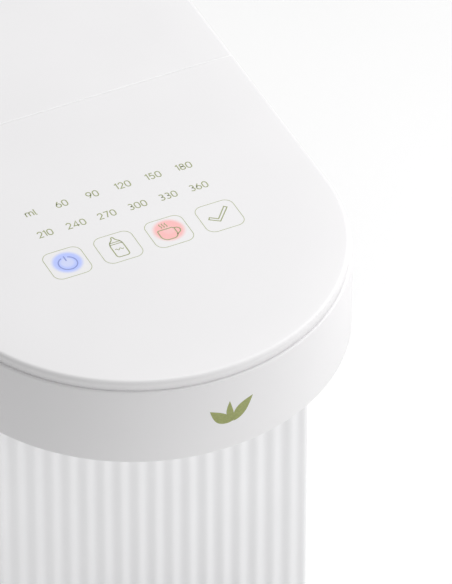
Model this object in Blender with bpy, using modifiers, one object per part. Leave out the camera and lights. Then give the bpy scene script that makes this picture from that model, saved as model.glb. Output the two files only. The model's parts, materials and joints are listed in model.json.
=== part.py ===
"""Formula dispenser that heats water and pours a chosen amount into a baby bottle.

A D-shaped base carries a fluted column, and the column carries a head of the same D shape that
reaches out over a drip tray.  The rear of the machine, from the seam across the top, is a lift-out
water tank with a hinged lid.  X runs to the right, Y to the back and Z up; the origin is on the
table, under the middle of the machine.  Lengths are in metres.
"""

import math

import bmesh
import bpy
from mathutils import Matrix, Vector

# ---------------------------------------------------------------- driving dimensions
HEAD_RADIUS = 0.086  # round nose of the head, tray and base, and half the body's width
BODY_DEPTH = 0.262  # nose to rear face
TOTAL_HEIGHT = 0.300
REAR_CORNER = 0.024  # plan radius of the two rear corners

PANEL_EDGE = 0.0042  # side of the top plate that shows above the groove
PANEL_INSET = 0.0006  # the top plates stand in from the band
PANEL_SKIN = 0.0024
PANEL_ROUND = 0.0016
GROOVE = 0.0006  # open joint between the top plates and the band
BAND_HEIGHT = 0.0364
WALL = 0.0026  # moulded walls of band, base and collar
SEAM_FROM_NOSE = 0.1725  # where the control panel ends and the tank lid begins
SEAM_GAP = 0.0006

COLUMN_SETBACK = 0.100  # nose to the fluted front of the column
COLUMN_WALL = 0.0040  # crest of a rib to the inside face
COLUMN_CORNER = 0.005
RIB_PITCH = 0.0081
RIB_DEPTH = 0.0013
RIB_STEPS = 4  # facets on each rib
BACK_WALL = 0.0030

FOOT_HEIGHT = 0.0033
BASE_PLATE = 0.0040
BASE_PLATE_INSET = 0.0015
BASE_TOP = 0.0280  # top of the base and of the drip tray

GAP = 0.0003  # between pieces that touch
RUN = 0.0005  # between pieces that slide or turn on each other

BUTTON_PITCH = 0.0220
BUTTON_SIDE = 0.0165
BUTTON_CORNER = 0.0040
BUTTON_AHEAD = 0.0023  # the row of keys lies this far in front of the nose's centre
BUTTON_SHIFT = 0.0033  # and this far to the right of the middle
BOARD = 0.0016  # thickness of a circuit board

NOZZLE_FROM_COLUMN = 0.043  # fluted front of the column to the axis of the spout
NOZZLE_BORE = 0.0030
MANIFOLD_NECK = 0.0160
SPOUT_LENGTH = 0.0115
SPOUT_RADIUS = 0.0048

TRAY_WALL = 0.0024
GRILLE = 0.0025
GRILLE_SLOT = 0.0042
GRILLE_PITCH = 0.0105

TANK_WALL = 0.0024
NECK_INSET = 0.0060  # the tank's mouth, inside the body's sides
NECK_REAR = 0.0190  # the tank's mouth, in front of the rear face
NECK_CORNER = 0.010
HINGE_FROM_REAR = 0.0125
KNUCKLE_RADIUS = 0.0030
PIN_RADIUS = 0.0012
BARREL_LENGTH = 0.0990
LUG_LENGTH = 0.0070
STRIP_DEPTH = 0.0050  # solid below the hinge strip
SEAL_HEIGHT = 0.0045
SEAL_WIDTH = 0.0030

VALVE_FROM_SEAM = 0.0455  # the tank's outlet, behind the seam
VALVE_NECK = 0.0084
VALVE_BORE = 0.0055
VALVE_LIFT = 0.0025  # the dock's pin holds the plunger this far off its seat
DOCK_RADIUS = 0.0124
SEAL_WIRE = 0.0017
SPRING_WIRE = 0.0005
SPRING_COIL = 0.0048
SPRING_TURNS = 4
SPRING_HEIGHT = 0.0144

HOSE_RADIUS = 0.0035
BARB_RADIUS = 0.0033
BARB_LENGTH = 0.0070

ROUND = 24  # facets of a turned piece
NOSE_STEPS = 32
CORNER_STEPS = 6

# ---------------------------------------------------------------- heights and places worked out from them
FRONT_Y, REAR_Y = -BODY_DEPTH / 2, BODY_DEPTH / 2
NOSE_Y = FRONT_Y + HEAD_RADIUS
SEAM_Y = FRONT_Y + SEAM_FROM_NOSE
COLUMN_Y = FRONT_Y + COLUMN_SETBACK
PANEL_LOW = TOTAL_HEIGHT - PANEL_EDGE
BAND_TOP = PANEL_LOW - GROOVE
HEAD_LOW = BAND_TOP - BAND_HEIGHT
SKIN_LOW = TOTAL_HEIGHT - PANEL_SKIN
BASE_PLATE_TOP = FOOT_HEIGHT + BASE_PLATE
BASE_LOW = BASE_PLATE_TOP + GAP
COLUMN_LOW = BASE_TOP + GAP
COLUMN_TOP = HEAD_LOW - GAP
HEAD_FLOOR = HEAD_LOW + WALL
TANK_LOW = BASE_TOP + 2 * GAP
TANK_FLOOR = TANK_LOW + TANK_WALL
TANK_FRONT = SEAM_Y + SEAM_GAP
NECK_TOP = PANEL_LOW - SEAL_HEIGHT - 2 * GAP
HINGE_Y = REAR_Y - HINGE_FROM_REAR
HINGE_Z = TOTAL_HEIGHT - KNUCKLE_RADIUS
LID_REAR = HINGE_Y + 0.0014
STRIP_FRONT = HINGE_Y + KNUCKLE_RADIUS + 0.0008
NOZZLE_Y = COLUMN_Y - NOZZLE_FROM_COLUMN
VALVE_Y = SEAM_Y + VALVE_FROM_SEAM
COLUMN_INSIDE_X = HEAD_RADIUS - COLUMN_WALL
COLUMN_INSIDE_Y = COLUMN_Y + COLUMN_WALL
BACK_WALL_FRONT = SEAM_Y - BACK_WALL
WORKS_Y = (COLUMN_INSIDE_Y + BACK_WALL_FRONT) / 2 - 0.004  # the pump, meter and heater stand on this line


def up_column(share):
    """The height at this share of the column, from its foot to its top."""
    return COLUMN_LOW + share * (COLUMN_TOP - COLUMN_LOW)


# ---------------------------------------------------------------- scene and materials
for old in list(bpy.data.objects):
    bpy.data.objects.remove(old, do_unlink=True)

PARTS = bpy.data.collections.new("formula_dispenser")
CUTTERS = bpy.data.collections.new("cutters")
bpy.context.scene.collection.children.link(PARTS)
bpy.context.scene.collection.children.link(CUTTERS)


def material(name, colour, roughness, metallic=0.0):
    made = bpy.data.materials.new(name)
    made.use_nodes = True
    shader = made.node_tree.nodes["Principled BSDF"]
    shader.inputs["Base Color"].default_value = (*colour, 1.0)
    shader.inputs["Roughness"].default_value = roughness
    shader.inputs["Metallic"].default_value = metallic
    made.diffuse_color = (*colour, 1.0)
    return made


WHITE = material("white_satin_abs", (0.86, 0.86, 0.87), 0.35)
WHITE_INNER = material("white_inner_plastic", (0.78, 0.78, 0.80), 0.5)
CLEAR = material("frosted_tank_plastic", (0.80, 0.85, 0.88), 0.2)
RUBBER = material("grey_rubber", (0.25, 0.25, 0.27), 0.8)
SILICONE = material("milky_silicone", (0.80, 0.80, 0.78), 0.5)
STEEL = material("stainless_steel", (0.66, 0.66, 0.68), 0.25, 1.0)
BRASS = material("brass", (0.70, 0.52, 0.25), 0.3, 1.0)
CIRCUIT = material("circuit_board_green", (0.06, 0.28, 0.14), 0.45)
BLACK = material("black_plastic", (0.03, 0.03, 0.035), 0.4)
DIFFUSER = material("light_guide_acrylic", (0.90, 0.90, 0.92), 0.3)
ALUMINIUM = material("cast_aluminium", (0.60, 0.60, 0.62), 0.45, 1.0)


# ---------------------------------------------------------------- outlines, as lists of (x, y)
def arc(centre, radius, start, end, steps):
    """Points on an arc, with angles in degrees."""
    return [
        (
            centre[0] + radius * math.cos(math.radians(start + (end - start) * i / steps)),
            centre[1] + radius * math.sin(math.radians(start + (end - start) * i / steps)),
        )
        for i in range(steps + 1)
    ]


def tidy(points, least=1e-6):
    """The loop without points that fall on the one before."""
    kept = []
    for point in points:
        if not kept or math.dist(point, kept[-1]) > least:
            kept.append(point)
    if math.dist(kept[0], kept[-1]) < least:
        kept.pop()
    return kept


def clip(points, limit, keep_above):
    """The part of a loop behind (keep_above) or in front of the line y = limit."""
    side = 1 if keep_above else -1
    kept = []
    for here, after in zip(points, points[1:] + points[:1]):
        inside, next_inside = side * (here[1] - limit) >= 0, side * (after[1] - limit) >= 0
        if inside:
            kept.append(here)
        if inside != next_inside:
            share = (limit - here[1]) / (after[1] - here[1])
            kept.append((here[0] + share * (after[0] - here[0]), limit))
    return tidy(kept)


def body_outline(inset=0.0, low=None, high=None):
    """The machine seen from above, drawn in by inset and cut at y = low and y = high."""
    radius, corner, rear = HEAD_RADIUS - inset, REAR_CORNER - inset, REAR_Y - inset
    points = arc((0, NOSE_Y), radius, 180, 360, NOSE_STEPS)
    points += arc((radius - corner, rear - corner), corner, 0, 90, CORNER_STEPS)
    points += arc((corner - radius, rear - corner), corner, 90, 180, CORNER_STEPS)
    points = tidy(points)
    if low is not None:
        points = clip(points, low, True)
    if high is not None:
        points = clip(points, high, False)
    return points


def rounded_box(left, right, front, rear, corner, steps=4):
    """A rectangle with round corners."""
    points = arc((left + corner, front + corner), corner, 180, 270, steps)
    points += arc((right - corner, front + corner), corner, 270, 360, steps)
    points += arc((right - corner, rear - corner), corner, 0, 90, steps)
    points += arc((left + corner, rear - corner), corner, 90, 180, steps)
    return tidy(points)


def circle(centre, radius, steps=ROUND):
    return arc(centre, radius, 0, 360, steps)[:-1]


def fluted_line(start, end):
    """Points from start to end on a run of whole ribs that bulge to the left of the way travelled."""
    length = math.dist(start, end)
    ribs = max(1, round(length / RIB_PITCH))
    along = ((end[0] - start[0]) / length, (end[1] - start[1]) / length)
    out = (-along[1], along[0])
    points = []
    for i in range(ribs * RIB_STEPS + 1):
        share = i / (ribs * RIB_STEPS)
        inset = RIB_DEPTH * (1 + math.cos(2 * math.pi * ribs * share)) / 2
        points.append(
            (
                start[0] + along[0] * length * share - out[0] * inset,
                start[1] + along[1] * length * share - out[1] * inset,
            )
        )
    return points


def fluted_arc(centre, radius, start, end):
    """The same on an arc, with the ribs bulging away from its centre."""
    length = radius * math.radians(abs(end - start))
    ribs = max(1, round(length / RIB_PITCH))
    points = []
    for i in range(ribs * RIB_STEPS + 1):
        share = i / (ribs * RIB_STEPS)
        reach = radius - RIB_DEPTH * (1 + math.cos(2 * math.pi * ribs * share)) / 2
        angle = math.radians(start + (end - start) * share)
        points.append((centre[0] + reach * math.cos(angle), centre[1] + reach * math.sin(angle)))
    return points


def column_outline():
    """The U-shaped column wall: ribs outside, plain inside, open to the back."""
    side, corner = HEAD_RADIUS, COLUMN_CORNER
    ribs = fluted_line((-side, COLUMN_Y + corner), (-side, SEAM_Y))[::-1]
    ribs += fluted_arc((-side + corner, COLUMN_Y + corner), corner, 180, 270)
    ribs += fluted_line((side - corner, COLUMN_Y), (-side + corner, COLUMN_Y))[::-1]
    ribs += fluted_arc((side - corner, COLUMN_Y + corner), corner, 270, 360)
    ribs += fluted_line((side, SEAM_Y), (side, COLUMN_Y + corner))[::-1]
    inner = corner / 2
    plain = [(COLUMN_INSIDE_X, SEAM_Y)]
    plain += arc((COLUMN_INSIDE_X - inner, COLUMN_INSIDE_Y + inner), inner, 360, 270, 4)
    plain += arc((inner - COLUMN_INSIDE_X, COLUMN_INSIDE_Y + inner), inner, 270, 180, 4)
    plain += [(-COLUMN_INSIDE_X, SEAM_Y)]
    return tidy(ribs + plain)


def tank_outline():
    """The tank's body: a plain front against the column, ribs round its sides and back."""
    side, corner = HEAD_RADIUS, REAR_CORNER
    points = fluted_line((side, REAR_Y - corner), (side, TANK_FRONT))[::-1]
    points += fluted_arc((side - corner, REAR_Y - corner), corner, 0, 90)
    points += fluted_line((-side + corner, REAR_Y), (side - corner, REAR_Y))[::-1]
    points += fluted_arc((corner - side, REAR_Y - corner), corner, 90, 180)
    points += fluted_line((-side, TANK_FRONT), (-side, REAR_Y - corner))[::-1]
    return tidy(points)


# ---------------------------------------------------------------- solids
def add(name, data, finish, place=None):
    made = bpy.data.objects.new(name, data)
    (PARTS if finish else CUTTERS).objects.link(made)
    if place is not None:
        made.matrix_world = place
    if finish:
        data.materials.clear()
        data.materials.append(finish)
    else:
        made.hide_render = True
        made.display_type = "WIRE"
    return made


def smooth(made, angle=35):
    made.data.shade_smooth()
    made.data.set_sharp_from_angle(angle=math.radians(angle))
    return made


def as_mesh(source, name, finish):
    """A mesh object in place of a curve object, with its caps welded on."""
    bpy.context.view_layer.update()
    mesh = bpy.data.meshes.new_from_object(source.evaluated_get(bpy.context.evaluated_depsgraph_get()))
    place = source.matrix_world.copy()
    curve = source.data
    bpy.data.objects.remove(source)
    bpy.data.curves.remove(curve)
    work = bmesh.new()
    work.from_mesh(mesh)
    bmesh.ops.remove_doubles(work, verts=work.verts, dist=1e-6)
    bmesh.ops.recalc_face_normals(work, faces=work.faces)
    work.to_mesh(mesh)
    work.free()
    return smooth(add(name, mesh, finish, place))


AXES = {
    "Z": Matrix.Identity(4),
    "X": Matrix(((0, 0, 1, 0), (1, 0, 0, 0), (0, 1, 0, 0), (0, 0, 0, 1))),  # outline in Y, Z
    "Y": Matrix(((0, 1, 0, 0), (0, 0, 1, 0), (1, 0, 0, 0), (0, 0, 0, 1))),  # outline in Z, X
}


def extruded(name, loops, low, high, finish, axis="Z"):
    """Flat outlines drawn out from low to high along an axis; loops inside the first are holes."""
    curve = bpy.data.curves.new(name, "CURVE")
    curve.dimensions = "2D"
    curve.fill_mode = "BOTH"
    curve.extrude = (high - low) / 2
    for loop in loops:
        spline = curve.splines.new("POLY")
        spline.points.add(len(loop) - 1)
        for point, (x, y) in zip(spline.points, loop):
            point.co = (x, y, 0, 1)
        spline.use_cyclic_u = True
    source = bpy.data.objects.new(name, curve)
    CUTTERS.objects.link(source)
    source.matrix_world = AXES[axis] @ Matrix.Translation((0, 0, (low + high) / 2))
    return as_mesh(source, name, finish)


def turned(name, profile, centre, finish, axis="Z", steps=ROUND):
    """A profile of (radius, height) turned about an axis; it runs down the outer side."""
    mesh = bpy.data.meshes.new(name)
    closed = profile[0][0] > 0
    edges = [(i, i + 1) for i in range(len(profile) - 1)] + ([(len(profile) - 1, 0)] if closed else [])
    mesh.from_pydata([(radius, 0, height) for radius, height in profile], edges, [])
    made = add(name, mesh, finish, Matrix.Translation(centre) @ AXES[axis])
    screw = made.modifiers.new("turn", "SCREW")
    screw.steps = screw.render_steps = steps
    screw.use_merge_vertices = True
    screw.merge_threshold = 1e-6
    screw.use_smooth_shade = False
    return made


def rod(name, radius, low, high, centre, finish, axis="Z", steps=ROUND):
    """A plain cylinder from low to high along an axis through centre."""
    return turned(name, [(0, high), (radius, high), (radius, low), (0, low)], centre, finish, axis, steps)


def block(name, size, centre, finish, bevel=0.0):
    bpy.ops.mesh.primitive_cube_add(size=1, location=centre)
    made = bpy.context.object
    made.name = made.data.name = name
    made.data.transform(Matrix.Diagonal((*size, 1)))
    for group in made.users_collection:
        group.objects.unlink(made)
    (PARTS if finish else CUTTERS).objects.link(made)
    if finish:
        made.data.materials.append(finish)
    else:
        made.hide_render = True
        made.display_type = "WIRE"
    if bevel:
        rounding = made.modifiers.new("edges", "BEVEL")
        rounding.width = bevel
        rounding.segments = 2
    return made


def smooth_route(points, per_leg):
    """A smooth line through the route's own points, straight along its first and last leg."""
    points = [Vector(p) for p in points]
    line = [points[0]]
    for before, here, there, after in zip(points, points[1:], points[2:], points[3:]):
        for i in range(per_leg):
            t = i / per_leg
            line.append(
                0.5
                * (
                    2 * here
                    + (there - before) * t
                    + (2 * before - 5 * here + 4 * there - after) * t**2
                    + (3 * here - before - 3 * there + after) * t**3
                )
            )
    return line + points[-2:]


def tube(name, points, radius, finish, resolution=2):
    curve = bpy.data.curves.new(name, "CURVE")
    curve.dimensions = "3D"
    curve.bevel_depth = radius
    curve.bevel_resolution = resolution
    curve.use_fill_caps = True
    spline = curve.splines.new("POLY")
    spline.points.add(len(points) - 1)
    for point, place in zip(spline.points, points):
        point.co = (*place, 1)
    source = bpy.data.objects.new(name, curve)
    CUTTERS.objects.link(source)
    return as_mesh(source, name, finish)


def combine(made, other, operation):
    change = made.modifiers.new(operation.lower(), "BOOLEAN")
    change.operation = operation
    change.solver = "EXACT"
    change.object = other
    return made


def join(made, *others):
    for other in others:
        combine(made, other, "UNION")
    return made


def cut(made, *others):
    for other in others:
        combine(made, other, "DIFFERENCE")
    return made


def round_edges(made, height, radius, segments=3):
    """Rounds the sharp edges of an upright plate at one height, before it has modifiers."""
    work = bmesh.new()
    work.from_mesh(made.data)
    level = height - made.matrix_world.translation.z
    rim = [
        edge
        for edge in work.edges
        if all(abs(v.co.z - level) < 1e-6 for v in edge.verts)
        and len(edge.link_faces) == 2
        and edge.calc_face_angle() > math.radians(60)
    ]
    bmesh.ops.bevel(
        work, geom=rim, offset=radius, segments=segments, profile=0.5, affect="EDGES", clamp_overlap=True
    )
    bmesh.ops.remove_doubles(work, verts=work.verts, dist=1e-6)
    work.to_mesh(made.data)
    work.free()
    return smooth(made)


def pivot(name, place, *carried):
    """An empty on a joint's axis that carries the moving pieces."""
    empty = bpy.data.objects.new(name, None)
    empty.location = place
    PARTS.objects.link(empty)
    bpy.context.view_layer.update()
    for piece in carried:
        piece.parent = empty
        piece.matrix_parent_inverse = empty.matrix_world.inverted()
    return empty


# ---------------------------------------------------------------- base, feet and screws
SCREWS = [(-0.062, 0.0), (0.062, 0.0), (-0.062, REAR_Y - 0.020), (0.062, REAR_Y - 0.020)]
FEET = {
    "foot_front_left": (-0.045, FRONT_Y + 0.030),
    "foot_front_right": (0.045, FRONT_Y + 0.030),
    "foot_rear_left": (-0.066, REAR_Y - 0.040),
    "foot_rear_right": (0.066, REAR_Y - 0.040),
}
FOOT_RADIUS, FOOT_STEM = 0.0085, 0.0026
SCREW_HEAD, SCREW_SHANK, BOSS = 0.0032, 0.0014, 0.0042
SCREW_TOP = BASE_LOW + 0.0100


def make_base():
    holes = [circle(place, FOOT_STEM + GAP, 12) for place in FEET.values()]
    plate = extruded(
        "base_plate", [body_outline(BASE_PLATE_INSET), *holes], FOOT_HEIGHT, BASE_PLATE_TOP, WHITE_INNER
    )
    for i, (x, y) in enumerate(SCREWS):
        sink = turned(
            f"cut_sink_{i}",
            [
                (0, BASE_PLATE + 0.001),
                (SCREW_SHANK + GAP, BASE_PLATE + 0.001),
                (SCREW_SHANK + GAP, 0.0020),
                (SCREW_HEAD + GAP, 0.0020),
                (SCREW_HEAD + GAP, -0.001),
                (0, -0.001),
            ],
            (x, y, FOOT_HEIGHT),
            None,
            steps=12,
        )
        cut(plate, sink)
    for name, (x, y) in FEET.items():
        turned(
            name,
            [
                (0, BASE_PLATE_TOP - GAP),
                (FOOT_STEM, BASE_PLATE_TOP - GAP),
                (FOOT_STEM, FOOT_HEIGHT - GAP),
                (FOOT_RADIUS, FOOT_HEIGHT - GAP),
                (FOOT_RADIUS, 0.0006),
                (FOOT_RADIUS - 0.0006, 0),
                (0, 0),
            ],
            (x, y, 0),
            RUBBER,
            steps=16,
        )

    housing = extruded(
        "base_housing", [body_outline(0, COLUMN_Y + GAP)], BASE_LOW, BASE_TOP, WHITE
    )
    inside = extruded(
        "cut_base_inside",
        [body_outline(WALL, COLUMN_Y + GAP + WALL)],
        BASE_LOW - 0.001,
        BASE_TOP - WALL,
        None,
    )
    passage = extruded(
        "cut_base_passage",
        [rounded_box(-0.020, 0.020, COLUMN_INSIDE_Y + 0.004, BACK_WALL_FRONT - 0.012, 0.004)],
        BASE_TOP - 2 * WALL,
        BASE_TOP + 0.001,
        None,
    )
    well = rod("cut_dock_well", DOCK_HOLE, -2 * WALL, 0.001, (0, VALVE_Y, BASE_TOP), None)
    socket = extruded(
        "cut_power_hole",
        [rounded_box(*grown(INLET_BOX, GAP), INLET_CORNER)],
        REAR_Y - 2 * WALL,
        REAR_Y + 0.001,
        None,
        axis="Y",
    )
    cut(housing, inside)
    for i, (x, y) in enumerate(SCREWS):
        post = rod(f"join_boss_{i}", BOSS, BASE_LOW, BASE_TOP - WALL + 0.0005, (x, y, 0), None, steps=16)
        join(housing, post)
    for i, (x, y) in enumerate(SCREWS):
        drill = rod(
            f"cut_boss_{i}", SCREW_SHANK + GAP, BASE_LOW - 0.001, SCREW_TOP + 0.001, (x, y, 0), None, steps=12
        )
        cut(housing, drill)
    cut(housing, passage, well, socket)

    names = ("front_left", "front_right", "rear_left", "rear_right")
    for where, (x, y) in zip(names, SCREWS):
        head_low = FOOT_HEIGHT - 0.0004
        screw = turned(
            f"base_screw_{where}",
            [
                (0, SCREW_TOP),
                (SCREW_SHANK, SCREW_TOP),
                (SCREW_SHANK, head_low + 0.0020),
                (SCREW_HEAD, head_low + 0.0020),
                (SCREW_HEAD, head_low),
                (0, head_low),
            ],
            (x, y, 0),
            STEEL,
            steps=12,
        )
        for turn in (0, 90):
            slot = block(f"cut_cross_{where}_{turn}", (0.0036, 0.0008, 0.0024), (x, y, head_low), None)
            slot.rotation_euler.z = math.radians(turn)
            cut(screw, slot)


# ---------------------------------------------------------------- power inlet, a two-pin socket in the rear of the base
INLET_BOX = (0.0105, 0.0225, 0.0300, 0.0520)  # low z, high z, low x, high x
INLET_CORNER = 0.0035
INLET_DEPTH = 0.0180
INLET_WALL = 0.0016


def grown(box, by):
    return (box[0] - by, box[1] + by, box[2] - by, box[3] + by)


def make_power_inlet():
    outer = rounded_box(*INLET_BOX, INLET_CORNER)
    shell = extruded("power_inlet", [outer], REAR_Y - INLET_DEPTH, REAR_Y - GAP, BLACK, axis="Y")
    hollow = extruded(
        "cut_inlet",
        [rounded_box(*grown(INLET_BOX, -INLET_WALL), INLET_CORNER - INLET_WALL / 2)],
        REAR_Y - INLET_DEPTH + INLET_WALL * 2,
        REAR_Y + 0.001,
        None,
        axis="Y",
    )
    cut(shell, hollow)
    middle_z, middle_x = (INLET_BOX[0] + INLET_BOX[1]) / 2, (INLET_BOX[2] + INLET_BOX[3]) / 2
    for i, side in enumerate((-1, 1)):
        pin = rod(
            f"join_pin_{i}",
            0.0012,
            REAR_Y - INLET_DEPTH + INLET_WALL,
            REAR_Y - 0.0065,
            (middle_x + side * 0.0043, 0, middle_z),
            None,
            axis="Y",
            steps=12,
        )
        join(shell, pin)


# ---------------------------------------------------------------- dock under the tank
DOCK_HOLE = DOCK_RADIUS + 0.0030
DOCK_FLOOR = BASE_LOW + 0.0012


def make_dock():
    rim = BASE_TOP - GAP
    pin_top = TANK_LOW - 0.0050
    turned(
        "tank_dock_socket",
        [
            (0, pin_top),
            (0.0014, pin_top),
            (0.0020, DOCK_FLOOR + 0.0024),
            (DOCK_RADIUS, DOCK_FLOOR + 0.0024),
            (DOCK_RADIUS, rim),
            (DOCK_HOLE - GAP, rim),
            (DOCK_HOLE - GAP, DOCK_FLOOR),
            (0, DOCK_FLOOR),
        ],
        (0, VALVE_Y, 0),
        WHITE_INNER,
    )
    barb = rod(
        "join_dock_barb",
        BARB_RADIUS,
        -DOCK_HOLE - BARB_LENGTH + 0.002,
        -DOCK_RADIUS - 0.001,
        (0, VALVE_Y, DOCK_BARB_Z),
        None,
        axis="Y",
        steps=16,
    )
    join(bpy.data.objects["tank_dock_socket"], barb)
    bpy.ops.mesh.primitive_torus_add(
        major_radius=(VALVE_NECK + DOCK_RADIUS) / 2,
        minor_radius=(DOCK_RADIUS - VALVE_NECK) / 2 - GAP,
        major_segments=ROUND,
        minor_segments=8,
        location=(0, VALVE_Y, TANK_LOW - 0.0030),
    )
    ring = bpy.context.object
    ring.name = ring.data.name = "dock_seal"
    for group in ring.users_collection:
        group.objects.unlink(ring)
    PARTS.objects.link(ring)
    ring.data.materials.append(SILICONE)
    smooth(ring, 60)


DOCK_BARB_Z = DOCK_FLOOR + 0.0062


# ---------------------------------------------------------------- column
def make_column():
    extruded("column_shell", [column_outline()], COLUMN_LOW, COLUMN_TOP, WHITE)
    extruded(
        "column_back_wall",
        [
            rounded_box(
                -COLUMN_INSIDE_X + GAP, COLUMN_INSIDE_X - GAP, BACK_WALL_FRONT, SEAM_Y, 0.0008, 1
            )
        ],
        COLUMN_LOW,
        COLUMN_TOP,
        WHITE_INNER,
    )


# ---------------------------------------------------------------- head and control panel
def make_head():
    housing = extruded("head_housing", [body_outline(0, high=SEAM_Y)], HEAD_LOW, BAND_TOP, WHITE)
    round_edges(housing, HEAD_LOW, 0.0008, 2)
    round_edges(housing, BAND_TOP, 0.0004, 1)
    inside = extruded(
        "cut_head_inside", [body_outline(WALL, high=SEAM_Y - WALL)], HEAD_FLOOR, BAND_TOP + 0.001, None
    )
    nozzle = rod(
        "cut_nozzle_hole", MANIFOLD_NECK + GAP, HEAD_LOW - 0.001, HEAD_FLOOR + 0.001, (0, NOZZLE_Y, 0), None
    )
    passage = extruded(
        "cut_head_passage",
        [rounded_box(-0.060, 0.060, COLUMN_INSIDE_Y + 0.004, BACK_WALL_FRONT - 0.008, 0.006)],
        HEAD_LOW - 0.001,
        HEAD_FLOOR + 0.001,
        None,
    )
    cut(housing, inside, nozzle, passage)

    panel = extruded(
        "control_panel", [body_outline(PANEL_INSET, high=SEAM_Y)], PANEL_LOW, TOTAL_HEIGHT, WHITE
    )
    round_edges(panel, TOTAL_HEIGHT, PANEL_ROUND)
    skirt_inset = WALL + GAP
    skirt = extruded(
        "join_panel_skirt",
        [body_outline(skirt_inset, high=SEAM_Y - skirt_inset)],
        BAND_TOP - 0.0040,
        PANEL_LOW + 0.0005,
        None,
    )
    pocket_inset = skirt_inset + 0.0020
    pocket = extruded(
        "cut_panel_pocket",
        [body_outline(pocket_inset, high=SEAM_Y - pocket_inset)],
        BAND_TOP - 0.0050,
        SKIN_LOW,
        None,
    )
    join(panel, skirt)
    cut(panel, pocket)

    row_y = NOSE_Y - BUTTON_AHEAD
    board_top = BAND_TOP - 0.0010
    extruded(
        "touch_board",
        [rounded_box(-0.060, 0.060, row_y - 0.016, row_y + 0.048, 0.004)],
        board_top - BOARD,
        board_top,
        CIRCUIT,
    )
    keys = ("power", "bottle", "warm", "confirm")
    for i, key in enumerate(keys):
        x = BUTTON_SHIFT + (i - 1.5) * BUTTON_PITCH
        half = BUTTON_SIDE / 2 - 0.0010
        extruded(
            f"light_guide_{key}",
            [rounded_box(x - half, x + half, row_y - half, row_y + half, BUTTON_CORNER - 0.0010)],
            board_top + GAP,
            SKIN_LOW - GAP,
            DIFFUSER,
        )


# ---------------------------------------------------------------- spout under the head
CAP_TOP = HEAD_LOW - GAP
CAP_LOW = CAP_TOP - 0.0220
CAP_RADIUS = 0.0230
CAP_TIP = 0.0120
CAP_WALL = 0.0022


def make_spout():
    flange_top = HEAD_FLOOR + 0.0030
    manifold = turned(
        "nozzle_manifold",
        [
            (0, flange_top + 0.0120),
            (0.0075, flange_top + 0.0120),
            (0.0075, flange_top),
            (MANIFOLD_NECK + 0.0060, flange_top),
            (MANIFOLD_NECK + 0.0060, HEAD_FLOOR + GAP),
            (MANIFOLD_NECK, HEAD_FLOOR + GAP),
            (MANIFOLD_NECK, CAP_TOP - 0.0070),
            (0.0070, CAP_LOW + 0.0085),
            (0, CAP_LOW + 0.0085),
        ],
        (0, NOZZLE_Y, 0),
        WHITE_INNER,
    )
    channel = rod("cut_channel", NOZZLE_BORE, CAP_LOW, MANIFOLD_BARB_Z, (0, NOZZLE_Y, 0), None, steps=12)
    barb = rod(
        "join_manifold_barb",
        BARB_RADIUS,
        0,
        0.0075 + BARB_LENGTH,
        (0, NOZZLE_Y, MANIFOLD_BARB_Z),
        None,
        axis="Y",
        steps=16,
    )
    join(manifold, barb)
    cut(manifold, channel)

    inner = MANIFOLD_NECK + RUN
    cap = turned(
        "nozzle_cap",
        [
            (inner, CAP_TOP),
            (CAP_RADIUS, CAP_TOP),
            (CAP_RADIUS - 0.0015, CAP_TOP - 0.0080),
            (CAP_TIP, CAP_LOW),
            (SPOUT_RADIUS + GAP, CAP_LOW),
            (SPOUT_RADIUS + GAP, CAP_LOW + CAP_WALL),
            (CAP_TIP - CAP_WALL, CAP_LOW + CAP_WALL),
            (inner, CAP_TOP - 0.0085),
        ],
        (0, NOZZLE_Y, 0),
        WHITE,
    )
    for side in (-1, 1):
        wing = block(
            f"join_wing_{'left' if side < 0 else 'right'}",
            (0.0100, 0.0036, 0.0070),
            (side * (CAP_RADIUS + 0.0005), NOZZLE_Y, CAP_TOP - 0.0045),
            None,
            0.0010,
        )
        join(cap, wing)
    flange = CAP_LOW + CAP_WALL + GAP
    tip = turned(
        "spout_tip",
        [
            (0.0025, flange + 0.0016),
            (CAP_TIP - CAP_WALL - RUN - 0.0015, flange + 0.0016),
            (CAP_TIP - CAP_WALL - RUN - 0.0015, flange),
            (SPOUT_RADIUS, flange),
            (SPOUT_RADIUS, CAP_LOW - SPOUT_LENGTH + 0.0010),
            (SPOUT_RADIUS - 0.0010, CAP_LOW - SPOUT_LENGTH),
            (0.0025, CAP_LOW - SPOUT_LENGTH),
        ],
        (0, NOZZLE_Y, 0),
        SILICONE,
        steps=20,
    )
    pivot("nozzle_axis", (0, NOZZLE_Y, CAP_TOP), cap, tip)


MANIFOLD_BARB_Z = HEAD_FLOOR + 0.0030 + 0.0070


# ---------------------------------------------------------------- drip tray and grille
TRAY_REAR = COLUMN_Y - GAP
GRILLE_TOP = BASE_TOP - GAP
LEDGE_TOP = GRILLE_TOP - GRILLE - GAP
LEDGE = 0.0030


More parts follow.
